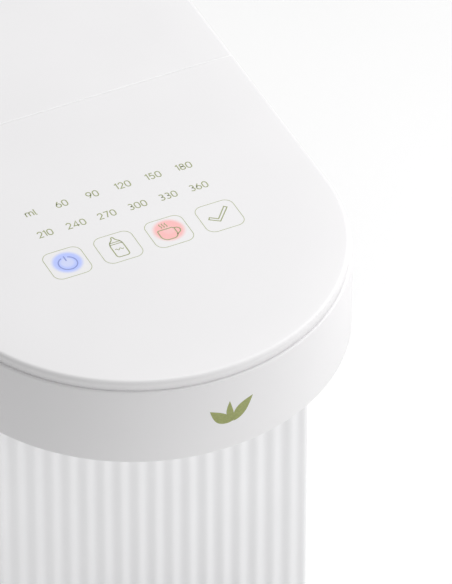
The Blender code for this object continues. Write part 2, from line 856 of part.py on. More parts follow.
def make_tray():
    tray = extruded("drip_tray", [body_outline(0, high=TRAY_REAR)], BASE_LOW, BASE_TOP, WHITE)
    round_edges(tray, BASE_TOP, 0.0008, 2)
    upper = extruded(
        "cut_tray_upper",
        [body_outline(TRAY_WALL, high=TRAY_REAR - TRAY_WALL)],
        LEDGE_TOP,
        BASE_TOP + 0.001,
        None,
    )
    lower = extruded(
        "cut_tray_lower",
        [body_outline(TRAY_WALL + LEDGE, high=TRAY_REAR - TRAY_WALL - LEDGE)],
        BASE_LOW + TRAY_WALL,
        LEDGE_TOP + 0.001,
        None,
    )
    cut(tray, upper, lower)

    edge = TRAY_WALL + RUN
    rim = edge + LEDGE + 0.0010
    slots = []
    reach = HEAD_RADIUS - rim - 0.004
    count = int(reach / GRILLE_PITCH)
    for i in range(-count, count + 1):
        x = i * GRILLE_PITCH
        front = NOSE_Y - math.sqrt(reach**2 - min(abs(x) + GRILLE_SLOT / 2, reach) ** 2)
        rear = TRAY_REAR - rim - 0.004
        if rear - front > 3 * GRILLE_SLOT:
            half = GRILLE_SLOT / 2
            slots.append(rounded_box(x - half, x + half, front, rear, half * 0.98, 2))
    extruded(
        "drip_grille",
        [body_outline(edge, high=TRAY_REAR - edge), *slots],
        GRILLE_TOP - GRILLE,
        GRILLE_TOP,
        WHITE,
    )
    slide = pivot("tray_slide_axis", (0, TRAY_REAR, BASE_LOW), tray)
    lift = pivot("grille_lift_axis", (0, NOSE_Y, GRILLE_TOP), bpy.data.objects["drip_grille"])
    lift.parent = slide
    lift.matrix_parent_inverse = slide.matrix_world.inverted()


# ---------------------------------------------------------------- lift-out tank, its lid and its valve
NECK_BOX = (-HEAD_RADIUS + NECK_INSET, HEAD_RADIUS - NECK_INSET, TANK_FRONT + NECK_INSET, REAR_Y - NECK_REAR)
VALVE_SEAT_TOP = TANK_FLOOR + GAP + 0.0024
PLUNGER_LOW = VALVE_SEAT_TOP + VALVE_LIFT
PLUNGER_HEAD = 0.0024
SPRING_LOW = PLUNGER_LOW + PLUNGER_HEAD + GAP
SPRING_TOP = SPRING_LOW + SPRING_HEIGHT
CAGE_RADIUS = 0.0125
FLOAT_BOX = (0.048, 0.062)  # low and high x of the float
FLOAT_DEPTH = 0.0100
FLOAT_HEIGHT = 0.0160
FLOAT_TRAVEL = 0.0300
FLOAT_LOW = 0.0450


def neck_outline(inset):
    left, right, front, rear = NECK_BOX
    return rounded_box(
        left + inset, right - inset, front + inset, rear - inset, NECK_CORNER - inset * 0.8, 5
    )


def make_tank():
    body = extruded("tank_body", [tank_outline()], TANK_LOW, COLUMN_TOP, CLEAR)
    neck = extruded("join_tank_neck", [neck_outline(0)], COLUMN_TOP - 0.0010, NECK_TOP, None)
    inside = extruded(
        "cut_tank_inside",
        [clip(body_outline(TANK_WALL + RIB_DEPTH), TANK_FRONT + TANK_WALL, True)],
        TANK_FLOOR,
        COLUMN_TOP - TANK_WALL,
        None,
    )
    mouth = extruded(
        "cut_tank_mouth", [neck_outline(TANK_WALL)], COLUMN_TOP - 2 * TANK_WALL, NECK_TOP + 0.001, None
    )
    outlet = rod("cut_tank_outlet", VALVE_NECK + GAP, TANK_LOW - 0.001, TANK_FLOOR + 0.001, (0, VALVE_Y, 0), None)
    join(body, neck)
    cut(body, inside, mouth, outlet)

    collar = extruded("tank_collar", [body_outline(0, TANK_FRONT)], HEAD_LOW, BAND_TOP, WHITE)
    round_edges(collar, HEAD_LOW, 0.0008, 2)
    round_edges(collar, BAND_TOP, 0.0004, 1)
    hollow = extruded(
        "cut_collar", [body_outline(WALL, TANK_FRONT + WALL)], HEAD_LOW - 0.001, BAND_TOP + 0.001, None
    )
    neck_of_strip = extruded(
        "join_strip_neck",
        [body_outline(PANEL_INSET + 0.0010, STRIP_FRONT + 0.0003)],
        BAND_TOP - STRIP_DEPTH,
        PANEL_LOW + 0.0005,
        None,
    )
    strip = extruded(
        "join_hinge_strip", [body_outline(PANEL_INSET, STRIP_FRONT)], PANEL_LOW, TOTAL_HEIGHT, None
    )
    round_edges(strip, TOTAL_HEIGHT, PANEL_ROUND)
    cut(collar, hollow)
    join(collar, neck_of_strip, strip)
    for side in (-1, 1):
        middle = side * (BARREL_LENGTH / 2 + GAP + LUG_LENGTH / 2)
        lug = rod(
            f"join_lug_{'left' if side < 0 else 'right'}",
            KNUCKLE_RADIUS,
            middle - LUG_LENGTH / 2,
            middle + LUG_LENGTH / 2,
            (0, HINGE_Y, HINGE_Z),
            None,
            axis="X",
            steps=20,
        )
        arm = block(
            f"join_arm_{'left' if side < 0 else 'right'}",
            (LUG_LENGTH - 0.0002, STRIP_FRONT - HINGE_Y + 0.0010, 0.0030),
            (middle, (STRIP_FRONT + HINGE_Y) / 2 + 0.0005, HINGE_Z - 0.0010),
            None,
        )
        join(collar, lug, arm)
    bore = rod(
        "cut_lug_bore", PIN_RADIUS + GAP, -PIN_END - 0.001, PIN_END + 0.001, (0, HINGE_Y, HINGE_Z), None, axis="X", steps=16
    )
    cut(collar, bore)

    pin = rod("lid_hinge_pin", PIN_RADIUS, -PIN_END, PIN_END, (0, HINGE_Y, HINGE_Z), STEEL, axis="X", steps=12)
    valve = make_valve()
    level = make_float()
    carrier = pivot("tank_lift_axis", (0, VALVE_Y, TANK_LOW), body, collar, pin, *valve, *level)
    lid = make_lid()
    lid.parent = carrier
    lid.matrix_parent_inverse = carrier.matrix_world.inverted()
    for name, height in (("valve_axis", PLUNGER_LOW), ("float_axis", FLOAT_LOW)):
        piece = "valve_plunger" if name == "valve_axis" else "tank_float"
        place = (0, VALVE_Y, height) if name == "valve_axis" else (sum(FLOAT_BOX) / 2, FLOAT_Y, height)
        moving = pivot(name, place, bpy.data.objects[piece])
        moving.parent = carrier
        moving.matrix_parent_inverse = carrier.matrix_world.inverted()


PIN_END = BARREL_LENGTH / 2 + GAP + LUG_LENGTH
FLOAT_Y = TANK_FRONT + TANK_WALL + GAP + 0.0020 + RUN + FLOAT_DEPTH / 2


def make_lid():
    lid = extruded(
        "tank_lid", [body_outline(PANEL_INSET, TANK_FRONT, LID_REAR)], PANEL_LOW, TOTAL_HEIGHT, WHITE
    )
    round_edges(lid, TOTAL_HEIGHT, PANEL_ROUND)
    barrel = rod(
        "join_barrel", KNUCKLE_RADIUS, -BARREL_LENGTH / 2, BARREL_LENGTH / 2, (0, HINGE_Y, HINGE_Z), None,
        axis="X", steps=20,
    )
    pocket = extruded(
        "cut_lid_pocket",
        [neck_outline(SEAL_WIDTH + 0.0020)],
        PANEL_LOW - 0.001,
        SKIN_LOW,
        None,
    )
    for side in (-1, 1):
        middle = side * (BARREL_LENGTH / 2 + GAP + LUG_LENGTH / 2)
        notch = block(
            f"cut_lid_notch_{'left' if side < 0 else 'right'}",
            (LUG_LENGTH + 2 * GAP, 0.0120, 0.0120),
            (middle, HINGE_Y - KNUCKLE_RADIUS - RUN + 0.0060, HINGE_Z),
            None,
        )
        cut(lid, notch)
    join(lid, barrel)
    bore = rod(
        "cut_barrel_bore", PIN_RADIUS + GAP, -BARREL_LENGTH / 2 - GAP / 2, BARREL_LENGTH / 2 + GAP / 2,
        (0, HINGE_Y, HINGE_Z), None, axis="X", steps=16,
    )
    cut(lid, bore, pocket)
    seal = extruded(
        "lid_seal",
        [neck_outline(-0.0003), neck_outline(SEAL_WIDTH)],
        NECK_TOP + GAP,
        PANEL_LOW - GAP,
        SILICONE,
    )
    return pivot("lid_axis", (0, HINGE_Y, HINGE_Z), lid, seal)


def make_valve():
    seat = turned(
        "tank_valve_seat",
        [
            (VALVE_BORE, VALVE_SEAT_TOP),
            (CAGE_RADIUS + 0.0025, VALVE_SEAT_TOP),
            (CAGE_RADIUS + 0.0025, TANK_FLOOR + GAP),
            (VALVE_NECK, TANK_FLOOR + GAP),
            (VALVE_NECK, TANK_LOW - 0.0055),
            (VALVE_BORE, TANK_LOW - 0.0055),
        ],
        (0, VALVE_Y, 0),
        WHITE_INNER,
    )
    stem_low = TANK_LOW - 0.0050 + GAP
    turned(
        "valve_plunger",
        [
            (0, PLUNGER_LOW + PLUNGER_HEAD),
            (VALVE_BORE + 0.0018, PLUNGER_LOW + PLUNGER_HEAD),
            (VALVE_BORE + 0.0018, PLUNGER_LOW + 0.0006),
            (VALVE_BORE - RUN, PLUNGER_LOW),
            (0.0018, PLUNGER_LOW),
            (0.0018, stem_low),
            (0, stem_low),
        ],
        (0, VALVE_Y, 0),
        RUBBER,
        steps=20,
    )
    cage_top = SPRING_TOP + GAP + 0.0020
    cage = rod("valve_cage", CAGE_RADIUS, SPRING_TOP + GAP, cage_top, (0, VALVE_Y, 0), WHITE_INNER)
    for i in range(3):
        angle = math.radians(90 + 120 * i)
        reach = CAGE_RADIUS - 0.0015
        leg = block(
            f"join_leg_{i}",
            (0.0030, 0.0040, cage_top - VALVE_SEAT_TOP - GAP - 0.0002),
            (
                reach * math.cos(angle),
                VALVE_Y + reach * math.sin(angle),
                (cage_top + VALVE_SEAT_TOP + GAP) / 2 - 0.0001,
            ),
            None,
        )
        leg.rotation_euler.z = angle
        join(cage, leg)
    steps = 9
    centre_low, centre_high = SPRING_LOW + SPRING_WIRE, SPRING_TOP - SPRING_WIRE
    coil = []
    for i in range(SPRING_TURNS * steps + 1):
        turn = 2 * math.pi * i / steps
        height = centre_low + (centre_high - centre_low) * i / (SPRING_TURNS * steps)
        coil.append((SPRING_COIL * math.cos(turn), VALVE_Y + SPRING_COIL * math.sin(turn), height))
    spring = tube("valve_spring", coil, SPRING_WIRE, STEEL, 1)
    return seat, cage, spring


def make_float():
    left, right = FLOAT_BOX
    frame_wall = 0.0020
    inner = (left - RUN, right + RUN, FLOAT_Y - FLOAT_DEPTH / 2 - RUN, FLOAT_Y + FLOAT_DEPTH / 2 + RUN)
    bottom, top = FLOAT_LOW - GAP, FLOAT_LOW + FLOAT_HEIGHT + FLOAT_TRAVEL + GAP
    guide = block(
        "float_guide",
        (
            inner[1] - inner[0] + 2 * frame_wall,
            inner[3] - inner[2] + 2 * frame_wall,
            top - bottom + 2 * frame_wall,
        ),
        ((left + right) / 2, FLOAT_Y, (top + bottom) / 2),
        WHITE_INNER,
    )
    hollow = block(
        "cut_float_guide",
        (inner[1] - inner[0], inner[3] - inner[2], top - bottom),
        ((left + right) / 2, FLOAT_Y, (top + bottom) / 2),
        None,
    )
    window = block(
        "cut_float_window",
        (inner[1] - inner[0] - 0.0040, 0.0200, top - bottom - 0.0040),
        ((left + right) / 2, FLOAT_Y + 0.0100, (top + bottom) / 2),
        None,
    )
    cut(guide, hollow, window)
    block(
        "tank_float",
        (right - left, FLOAT_DEPTH, FLOAT_HEIGHT),
        ((left + right) / 2, FLOAT_Y, FLOAT_LOW + FLOAT_HEIGHT / 2),
        RUBBER,
        0.0010,
    )
    return (guide,)


# ---------------------------------------------------------------- works inside the column
PUMP_X, PUMP_Z = -0.002, 0.054
PUMP_SIDE, PUMP_LENGTH = 0.0340, 0.0220
MOTOR_RADIUS, MOTOR_LENGTH = 0.0140, 0.0440
ROTOR_RADIUS, ROTOR_LENGTH = 0.0115, 0.0100
METER_X, METER_Z = 0.038, up_column(0.320)
METER_RADIUS, METER_LENGTH = 0.0150, 0.0140
WHEEL_RADIUS, WHEEL_LENGTH = 0.0110, 0.0080
HEATER_SIZE = (0.096, 0.030, up_column(0.243) - COLUMN_LOW)
HEATER_X, HEATER_Z = 0.006, up_column(0.642)
COVER = 0.0018


def paddle_wheel(name, radius, length, centre, blades, finish, axis):
    """A hub with radial blades, turning on its axis."""
    hub = radius * 0.32
    loops = []
    for i in range(blades):
        start = 360 * i / blades
        half = 0.0006
        tip = math.degrees(half / radius)
        root = math.degrees(half / hub)
        loops.append((hub * math.cos(math.radians(start - root)), hub * math.sin(math.radians(start - root))))
        loops.append((radius * math.cos(math.radians(start - tip)), radius * math.sin(math.radians(start - tip))))
        loops.append((radius * math.cos(math.radians(start + tip)), radius * math.sin(math.radians(start + tip))))
        loops.append((hub * math.cos(math.radians(start + root)), hub * math.sin(math.radians(start + root))))
    wheel = extruded(name, [loops], -length / 2, length / 2, finish, axis)
    wheel.matrix_world = Matrix.Translation(centre) @ wheel.matrix_world
    return wheel


def make_pump():
    head = block("pump_head", (PUMP_LENGTH, PUMP_SIDE, PUMP_SIDE), (PUMP_X, WORKS_Y, PUMP_Z), WHITE_INNER, 0.0020)
    right = PUMP_X + PUMP_LENGTH / 2
    pocket = rod(
        "cut_pump_pocket", ROTOR_RADIUS + RUN, right - ROTOR_LENGTH - 2 * RUN, right + 0.001,
        (0, WORKS_Y, PUMP_Z), None, axis="X",
    )
    cut(head, pocket)
    for name, sign in (("inlet", -1), ("outlet", 1)):
        ends = sorted((sign * (PUMP_SIDE / 2 - 0.003), sign * (PUMP_SIDE / 2 + BARB_LENGTH)))
        barb = rod(f"join_pump_{name}", BARB_RADIUS, *ends, (PUMP_X - 0.006, WORKS_Y, PUMP_Z), None, steps=16)
        join(head, barb)
    rod(
        "pump_cover", ROTOR_RADIUS + 0.0040, right + GAP, right + GAP + COVER, (0, WORKS_Y, PUMP_Z),
        WHITE_INNER, axis="X",
    )
    rotor = paddle_wheel(
        "pump_rotor", ROTOR_RADIUS, ROTOR_LENGTH - RUN, (right - ROTOR_LENGTH / 2 - RUN / 2, WORKS_Y, PUMP_Z),
        6, BLACK, "X",
    )
    pivot("pump_axis", (right - ROTOR_LENGTH / 2, WORKS_Y, PUMP_Z), rotor)
    left = PUMP_X - PUMP_LENGTH / 2 - GAP
    motor = turned(
        "pump_motor",
        [
            (0, left),
            (MOTOR_RADIUS, left),
            (MOTOR_RADIUS, left - MOTOR_LENGTH + 0.0010),
            (MOTOR_RADIUS - 0.0010, left - MOTOR_LENGTH),
            (0.0040, left - MOTOR_LENGTH),
            (0.0040, left - MOTOR_LENGTH - 0.0020),
            (0, left - MOTOR_LENGTH - 0.0020),
        ],
        (0, WORKS_Y, PUMP_Z),
        STEEL,
        axis="X",
    )
    return motor


def make_meter():
    body = rod("flow_meter_body", METER_RADIUS, -METER_LENGTH / 2, METER_LENGTH / 2,
               (METER_X, WORKS_Y, METER_Z), WHITE_INNER, axis="Y")
    pocket = rod(
        "cut_meter_pocket", WHEEL_RADIUS + RUN, -METER_LENGTH / 2 - 0.001,
        -METER_LENGTH / 2 + WHEEL_LENGTH + 2 * RUN, (METER_X, WORKS_Y, METER_Z), None, axis="Y",
    )
    cut(body, pocket)
    for name, sign in (("inlet", -1), ("outlet", 1)):
        ends = sorted((sign * (METER_RADIUS - 0.0010), sign * (METER_RADIUS + BARB_LENGTH)))
        barb = rod(f"join_meter_{name}", BARB_RADIUS, *ends, (METER_X, WORKS_Y, METER_Z), None, axis="X", steps=16)
        join(body, barb)
    front = WORKS_Y - METER_LENGTH / 2
    rod("flow_meter_cover", METER_RADIUS, -COVER - GAP, -GAP, (METER_X, front, METER_Z), CLEAR, axis="Y")
    wheel = paddle_wheel(
        "flow_wheel", WHEEL_RADIUS, WHEEL_LENGTH - RUN, (METER_X, front + WHEEL_LENGTH / 2 + RUN / 2, METER_Z),
        8, BLACK, "Y",
    )
    pivot("flow_wheel_axis", (METER_X, front + WHEEL_LENGTH / 2, METER_Z), wheel)


def make_heater():
    heater = block("heater_block", HEATER_SIZE, (HEATER_X, WORKS_Y, HEATER_Z), ALUMINIUM, 0.0030)
    low, high = HEATER_Z - HEATER_SIZE[2] / 2, HEATER_Z + HEATER_SIZE[2] / 2
    inlet = rod("join_heater_inlet", BARB_RADIUS, low - BARB_LENGTH, low + 0.004,
                (HEATER_IN_X, WORKS_Y, 0), None, steps=16)
    outlet = rod("join_heater_outlet", BARB_RADIUS, high - 0.004, high + BARB_LENGTH,
                 (HEATER_OUT_X, WORKS_Y, 0), None, steps=16)
    join(heater, inlet, outlet)
    front = WORKS_Y - HEATER_SIZE[1] / 2 - GAP
    rod("safety_thermostat", 0.0080, -0.0055, 0, (HEATER_X - 0.020, front, HEATER_Z), BLACK, axis="Y", steps=20)
    rod("water_temperature_sensor", 0.0030, high + GAP, high + GAP + 0.0120,
        (HEATER_X + 0.020, WORKS_Y, 0), BRASS, steps=16)


HEATER_IN_X, HEATER_OUT_X = HEATER_X + 0.038, HEATER_X - 0.032


def make_electronics():
    front = BACK_WALL_FRONT - 0.0090
    board_x = COLUMN_INSIDE_X - 0.012
    power = extruded(
        "power_board",
        [rounded_box(0.036, up_column(0.442), -board_x, board_x, 0.002, 1)],
        front,
        front + BOARD,
        CIRCUIT,
        axis="Y",
    )
    block("transformer", (0.034, 0.0110, 0.032), (0.046, front - GAP - 0.0055, 0.056), BLACK, 0.0010)
    extruded(
        "control_board",
        [rounded_box(up_column(0.512), up_column(0.902), -0.050, 0.050, 0.002, 1)],
        front,
        front + BOARD,
        CIRCUIT,
        axis="Y",
    )
    block("tank_sensor", (0.018, 0.0040, 0.010), (0.056, BACK_WALL_FRONT - GAP - 0.0020, 0.180), BLACK, 0.0006)
    return power


def make_hoses():
    pump_port_x = PUMP_X - 0.006
    pump_low = PUMP_Z - PUMP_SIDE / 2 - BARB_LENGTH - GAP
    pump_high = PUMP_Z + PUMP_SIDE / 2 + BARB_LENGTH + GAP
    meter_in = METER_X - METER_RADIUS - BARB_LENGTH - GAP
    meter_out = METER_X + METER_RADIUS + BARB_LENGTH + GAP
    heater_low = HEATER_Z - HEATER_SIZE[2] / 2 - BARB_LENGTH - GAP
    heater_high = HEATER_Z + HEATER_SIZE[2] / 2 + BARB_LENGTH + GAP
    dock_end = VALVE_Y - DOCK_HOLE - BARB_LENGTH + 0.002 - GAP
    barb_end = NOZZLE_Y + 0.0075 + BARB_LENGTH + GAP
    routes = {
        "tank_hose": [
            (0, dock_end, DOCK_BARB_Z),
            (0, dock_end - 0.012, DOCK_BARB_Z),
            (pump_port_x * 0.5, WORKS_Y + 0.026, DOCK_BARB_Z - 0.0005),
            (pump_port_x, WORKS_Y + 0.010, DOCK_BARB_Z + 0.0010),
            (pump_port_x, WORKS_Y + 0.002, DOCK_BARB_Z + 0.0060),
            (pump_port_x, WORKS_Y, pump_low - 0.0030),
            (pump_port_x, WORKS_Y, pump_low),
        ],
        "pump_hose": [
            (pump_port_x, WORKS_Y, pump_high),
            (pump_port_x, WORKS_Y, pump_high + 0.003),
            (pump_port_x + 0.003, WORKS_Y, METER_Z - 0.004),
            (meter_in - 0.004, WORKS_Y, METER_Z),
            (meter_in, WORKS_Y, METER_Z),
        ],
        "heater_hose": [
            (meter_out, WORKS_Y, METER_Z),
            (meter_out + 0.003, WORKS_Y, METER_Z),
            (meter_out + 0.010, WORKS_Y, METER_Z + 0.010),
            (meter_out + 0.004, WORKS_Y, METER_Z + 0.022),
            (HEATER_IN_X, WORKS_Y, heater_low - 0.008),
            (HEATER_IN_X, WORKS_Y, heater_low),
        ],
        "delivery_hose": [
            (HEATER_OUT_X, WORKS_Y, heater_high),
            (HEATER_OUT_X, WORKS_Y, heater_high + 0.020),
            (HEATER_OUT_X + 0.001, WORKS_Y - 0.001, MANIFOLD_BARB_Z - 0.020),
            (HEATER_OUT_X + 0.006, WORKS_Y - 0.012, MANIFOLD_BARB_Z - 0.001),
            (HEATER_OUT_X + 0.018, WORKS_Y - 0.034, MANIFOLD_BARB_Z + 0.001),
            (0, barb_end + 0.010, MANIFOLD_BARB_Z),
            (0, barb_end, MANIFOLD_BARB_Z),
        ],
    }
    for name, points in routes.items():
        tube(name, smooth_route(points, 4), HOSE_RADIUS, SILICONE)


make_base()
make_power_inlet()
make_dock()
make_column()
make_head()
make_spout()
make_tray()
make_tank()
make_pump()
make_meter()
make_heater()
make_electronics()
make_hoses()
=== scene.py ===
import json
import math

import bmesh
import bpy
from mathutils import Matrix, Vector


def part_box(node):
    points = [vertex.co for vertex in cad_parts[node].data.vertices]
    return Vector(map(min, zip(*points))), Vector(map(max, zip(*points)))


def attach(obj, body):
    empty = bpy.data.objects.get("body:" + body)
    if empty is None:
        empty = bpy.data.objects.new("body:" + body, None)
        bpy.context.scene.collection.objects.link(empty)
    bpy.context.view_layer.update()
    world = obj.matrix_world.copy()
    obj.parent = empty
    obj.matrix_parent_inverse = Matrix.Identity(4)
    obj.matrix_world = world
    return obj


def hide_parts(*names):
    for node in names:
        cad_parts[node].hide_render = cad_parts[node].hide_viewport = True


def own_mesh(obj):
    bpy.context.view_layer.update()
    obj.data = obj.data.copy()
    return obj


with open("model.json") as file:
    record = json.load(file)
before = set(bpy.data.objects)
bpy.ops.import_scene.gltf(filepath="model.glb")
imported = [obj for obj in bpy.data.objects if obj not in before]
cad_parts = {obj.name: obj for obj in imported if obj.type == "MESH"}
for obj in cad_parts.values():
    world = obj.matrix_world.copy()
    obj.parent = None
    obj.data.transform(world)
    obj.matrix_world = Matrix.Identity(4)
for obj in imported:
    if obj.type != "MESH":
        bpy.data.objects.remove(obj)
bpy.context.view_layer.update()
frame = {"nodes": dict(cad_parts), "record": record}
nodes = frame["nodes"]
print("frame loaded,", len(nodes), "nodes")


# where things are, read from the frame
headLow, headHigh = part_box("head_housing")
panelLow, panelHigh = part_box("control_panel")
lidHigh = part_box("tank_lid")[1]
collarLow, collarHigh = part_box("tank_collar")
columnLow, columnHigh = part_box("column_shell")
tankLow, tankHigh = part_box("tank_body")
baseLow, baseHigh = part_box("base_housing")
plateLow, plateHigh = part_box("base_plate")
trayLow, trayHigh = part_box("drip_tray")
grilleLow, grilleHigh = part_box("drip_grille")
capLow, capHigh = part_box("nozzle_cap")
tipLow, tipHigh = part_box("spout_tip")
pinLow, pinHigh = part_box("lid_hinge_pin")
valveLow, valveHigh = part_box("valve_plunger")
springLow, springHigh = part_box("valve_spring")
inletLow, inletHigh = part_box("power_inlet")

case = {
    "radius": headHigh.x,  # round nose and half width
    "noseY": headLow.y + headHigh.x,
    "seamY": headHigh.y,
    "rearY": collarHigh.y,
    "tankY": collarLow.y,
    "rearCorner": 0.024,
    "smallCorner": 0.0012,  # where a side meets the seam
    "cornerSteps": 24,
    "noseSteps": 144,
    "ribPitch": 0.00768,
    "ribDepth": 0.0008,
    "top": panelHigh.z,
    "bandTop": headHigh.z,
    "bandLow": headLow.z,
}
spout = Vector(((tipLow.x + tipHigh.x) / 2, (tipLow.y + tipHigh.y) / 2, 0))
hingeAxis = (pinLow + pinHigh) / 2
dock = (valveLow + valveHigh) / 2  # the tank's outlet and its dock share this axis


# small tools
def linearColour(hexText, alpha=1.0):
    channels = [int(hexText[i : i + 2], 16) / 255 for i in (1, 3, 5)]
    linear = [c / 12.92 if c <= 0.04045 else ((c + 0.055) / 1.055) ** 2.4 for c in channels]
    return (*linear, alpha)


def setNode(tree, node, settings, links):
    for name, value in settings.items():
        if name == "stops":
            for element, (place, colour) in zip(node.color_ramp.elements, value):
                element.position = place
                element.color = colour
        elif isinstance(name, int) or name in node.inputs:
            node.inputs[name].default_value = value
        else:
            setattr(node, name, value)
    for name, socket in links.items():
        tree.links.new(socket, node.inputs[name])
    return node


def addNode(tree, kind, settings=None, links=None):
    return setNode(tree, tree.nodes.new(kind), settings or {}, links or {})


def newMaterial(name):
    material = bpy.data.materials.new(name)
    material.use_nodes = True
    tree = material.node_tree
    shader = tree.nodes["Principled BSDF"]
    return material, tree, shader


def linked(name, data):
    made = bpy.data.objects.new(name, data)
    bpy.context.scene.collection.objects.link(made)
    return made


def meshFrom(name, work):
    mesh = bpy.data.meshes.new(name)
    work.to_mesh(mesh)
    work.free()
    return mesh


def meshPiece(name, work, material, body, sharp=40, recalc=True):
    if recalc:
        bmesh.ops.recalc_face_normals(work, faces=work.faces)
    mesh = meshFrom(name, work)
    mesh.shade_smooth()
    mesh.set_sharp_from_angle(angle=math.radians(sharp))
    piece = linked(name, mesh)
    mesh.materials.append(material)
    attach(piece, body)
    return piece


def arcPoints(centre, radius, start, end, steps):
    spread = radius if isinstance(radius, tuple) else (radius, radius)
    return [
        (
            centre[0] + spread[0] * math.cos(math.radians(start + (end - start) * i / steps)),
            centre[1] + spread[1] * math.sin(math.radians(start + (end - start) * i / steps)),
        )
        for i in range(steps + 1)
    ]


def lengthsAlong(line):
    lengths = [0.0]
    for here, there in zip(line, line[1:]):
        lengths.append(lengths[-1] + math.dist(here, there))
    return lengths


def evenly(points, count):
    # the same closed line as count points, a fixed step apart
    ring = points + [points[0]]
    lengths = lengthsAlong(ring)
    found, k = [], 0
    for i in range(count):
        target = lengths[-1] * i / count
        while lengths[k + 1] < target:
            k += 1
        share = (target - lengths[k]) / max(lengths[k + 1] - lengths[k], 1e-12)
        a, b = ring[k], ring[k + 1]
        found.append((a[0] + (b[0] - a[0]) * share, a[1] + (b[1] - a[1]) * share))
    return found


def loft(work, rings, closed=False):
    # rings are lists of (x, y, z) with the same count; neighbours are joined by quads
    made = [[work.verts.new(point) for point in ring] for ring in rings]
    pairs = list(zip(made, made[1:])) + ([(made[-1], made[0])] if closed else [])
    for lower, upper in pairs:
        for i in range(len(lower)):
            j = (i + 1) % len(lower)
            work.faces.new((lower[i], lower[j], upper[j], upper[i]))
    if not closed:
        work.faces.new(made[0][::-1])
        work.faces.new(made[-1])


def ringAt(outline, height):
    return [(x, y, height) for x, y in outline]


def roundOver(outlineOf, inset, height, radius, outward=True, upward=True, steps=6):
    # rings that turn from a wall into a level face; outlineOf(inset) gives the outline
    rings = []
    for i in range(steps + 1):
        angle = math.radians(90 * i / steps)
        back = radius * (1 - math.cos(angle))
        rise = radius * math.sin(angle)
        level = height - radius + rise if upward else height + radius - rise
        rings.append(ringAt(outlineOf(inset + back), level))
    return rings if outward else rings[::-1]


def turnedRings(profile, centre, count=96):
    rings = []
    for radius, height in profile:
        rings.append(ringAt(arcPoints(centre, radius, 0, 360, count)[:-1], height))
    return rings


def cutWith(piece, tools, operation="DIFFERENCE"):
    for tool in tools:
        change = piece.modifiers.new("cut", "BOOLEAN")
        change.operation = operation
        change.solver = "EXACT"
        change.object = tool
    bpy.context.view_layer.update()
    shape = bpy.data.meshes.new_from_object(piece.evaluated_get(bpy.context.evaluated_depsgraph_get()))
    piece.modifiers.clear()
    old = piece.data
    piece.data = shape
    bpy.data.meshes.remove(old)
    for tool in tools:
        bpy.data.objects.remove(tool)
    piece.data.set_sharp_from_angle(angle=math.radians(35))


def cutter(rings):
    work = bmesh.new()
    loft(work, rings)
    bmesh.ops.recalc_face_normals(work, faces=work.faces)
    return linked("cutter", meshFrom("cutter", work))


# outlines seen from above
def smallTurn(inset):
    return max(case["smallCorner"] - inset, 0.0003)


def rearTurns(radius, back, turn, steps):
    # the two rear corners of an outline, right one first
    right = arcPoints((radius - turn, back - turn), turn, 0, 90, steps)
    return right + arcPoints((turn - radius, back - turn), turn, 90, 180, steps)


def noseTurn(inset):
    return arcPoints((0, case["noseY"]), case["radius"] - inset, 180, 360, case["noseSteps"])


def noseOutline(inset, rear, rearInset=None):
    # round nose, straight sides and a straight rear edge
    back = rear - (inset if rearInset is None else rearInset)
    return noseTurn(inset) + rearTurns(case["radius"] - inset, back, smallTurn(inset), 6)


def headOutline(inset):
    return noseOutline(inset, case["seamY"])


def rearEnd(inset):
    turn = case["rearCorner"] - inset
    return rearTurns(case["radius"] - inset, case["rearY"] - inset, turn, case["cornerSteps"])


def frontTurns(radius, near, turn):
    left = arcPoints((turn - radius, near + turn), turn, 180, 270, 6)
    return left + arcPoints((radius - turn, near + turn), turn, 270, 360, 6)


def tankOutline(inset, front=None):
    # the rear part of the case, from the seam back, with round rear corners
    near = (case["tankY"] if front is None else front) + inset
    return frontTurns(case["radius"] - inset, near, smallTurn(inset)) + rearEnd(inset)


def ribbed(points):
    # ribs along an open line that bulge to its right, as it is travelled
    lengths = lengthsAlong(points)
    ribs = round(lengths[-1] / case["ribPitch"])
    steps = ribs * 12
    found, k = [], 0
    for i in range(steps + 1):
        target = lengths[-1] * i / steps
        while k < len(points) - 2 and lengths[k + 1] < target:
            k += 1
        a, b = Vector(points[k]), Vector(points[k + 1])
        along = (b - a).normalized()
        place = a + along * (target - lengths[k])
        inward = Vector((-along.y, along.x))
        sink = case["ribDepth"] * (1 + math.cos(2 * math.pi * ribs * i / steps)) / 2
        found.append(tuple(place + inward * sink))
    return found


# materials
def between(low, shade, high, body):
    # the two ends of a colour ramp
    return [(low, linearColour(shade)), (high, linearColour(body))]


def laySkin(tree, shader, tone, stops, fine, roughness, facts, relief=None, reach=(0.3, 0.7)):
    # the tone pattern gives the colour; the fine one gives the gloss and, where asked, a relief
    tint = addNode(tree, "ShaderNodeValToRGB", {"stops": stops}, {"Fac": tone.outputs["Fac"]})
    gloss = addNode(tree, "ShaderNodeMapRange", {"From Min": reach[0], "From Max": reach[1],
                    "To Min": roughness[0], "To Max": roughness[1]}, {"Value": fine.outputs["Fac"]})
    links = {"Base Color": tint.outputs["Color"], "Roughness": gloss.outputs["Result"]}
    if relief:
        bump = addNode(tree, "ShaderNodeBump", relief, {"Height": fine.outputs["Fac"]})
        links["Normal"] = bump.outputs["Normal"]
    setNode(tree, shader, facts, links)


moulded = {"grainMm": 0.9, "reliefMm": 0.006, "cloudMm": 60}


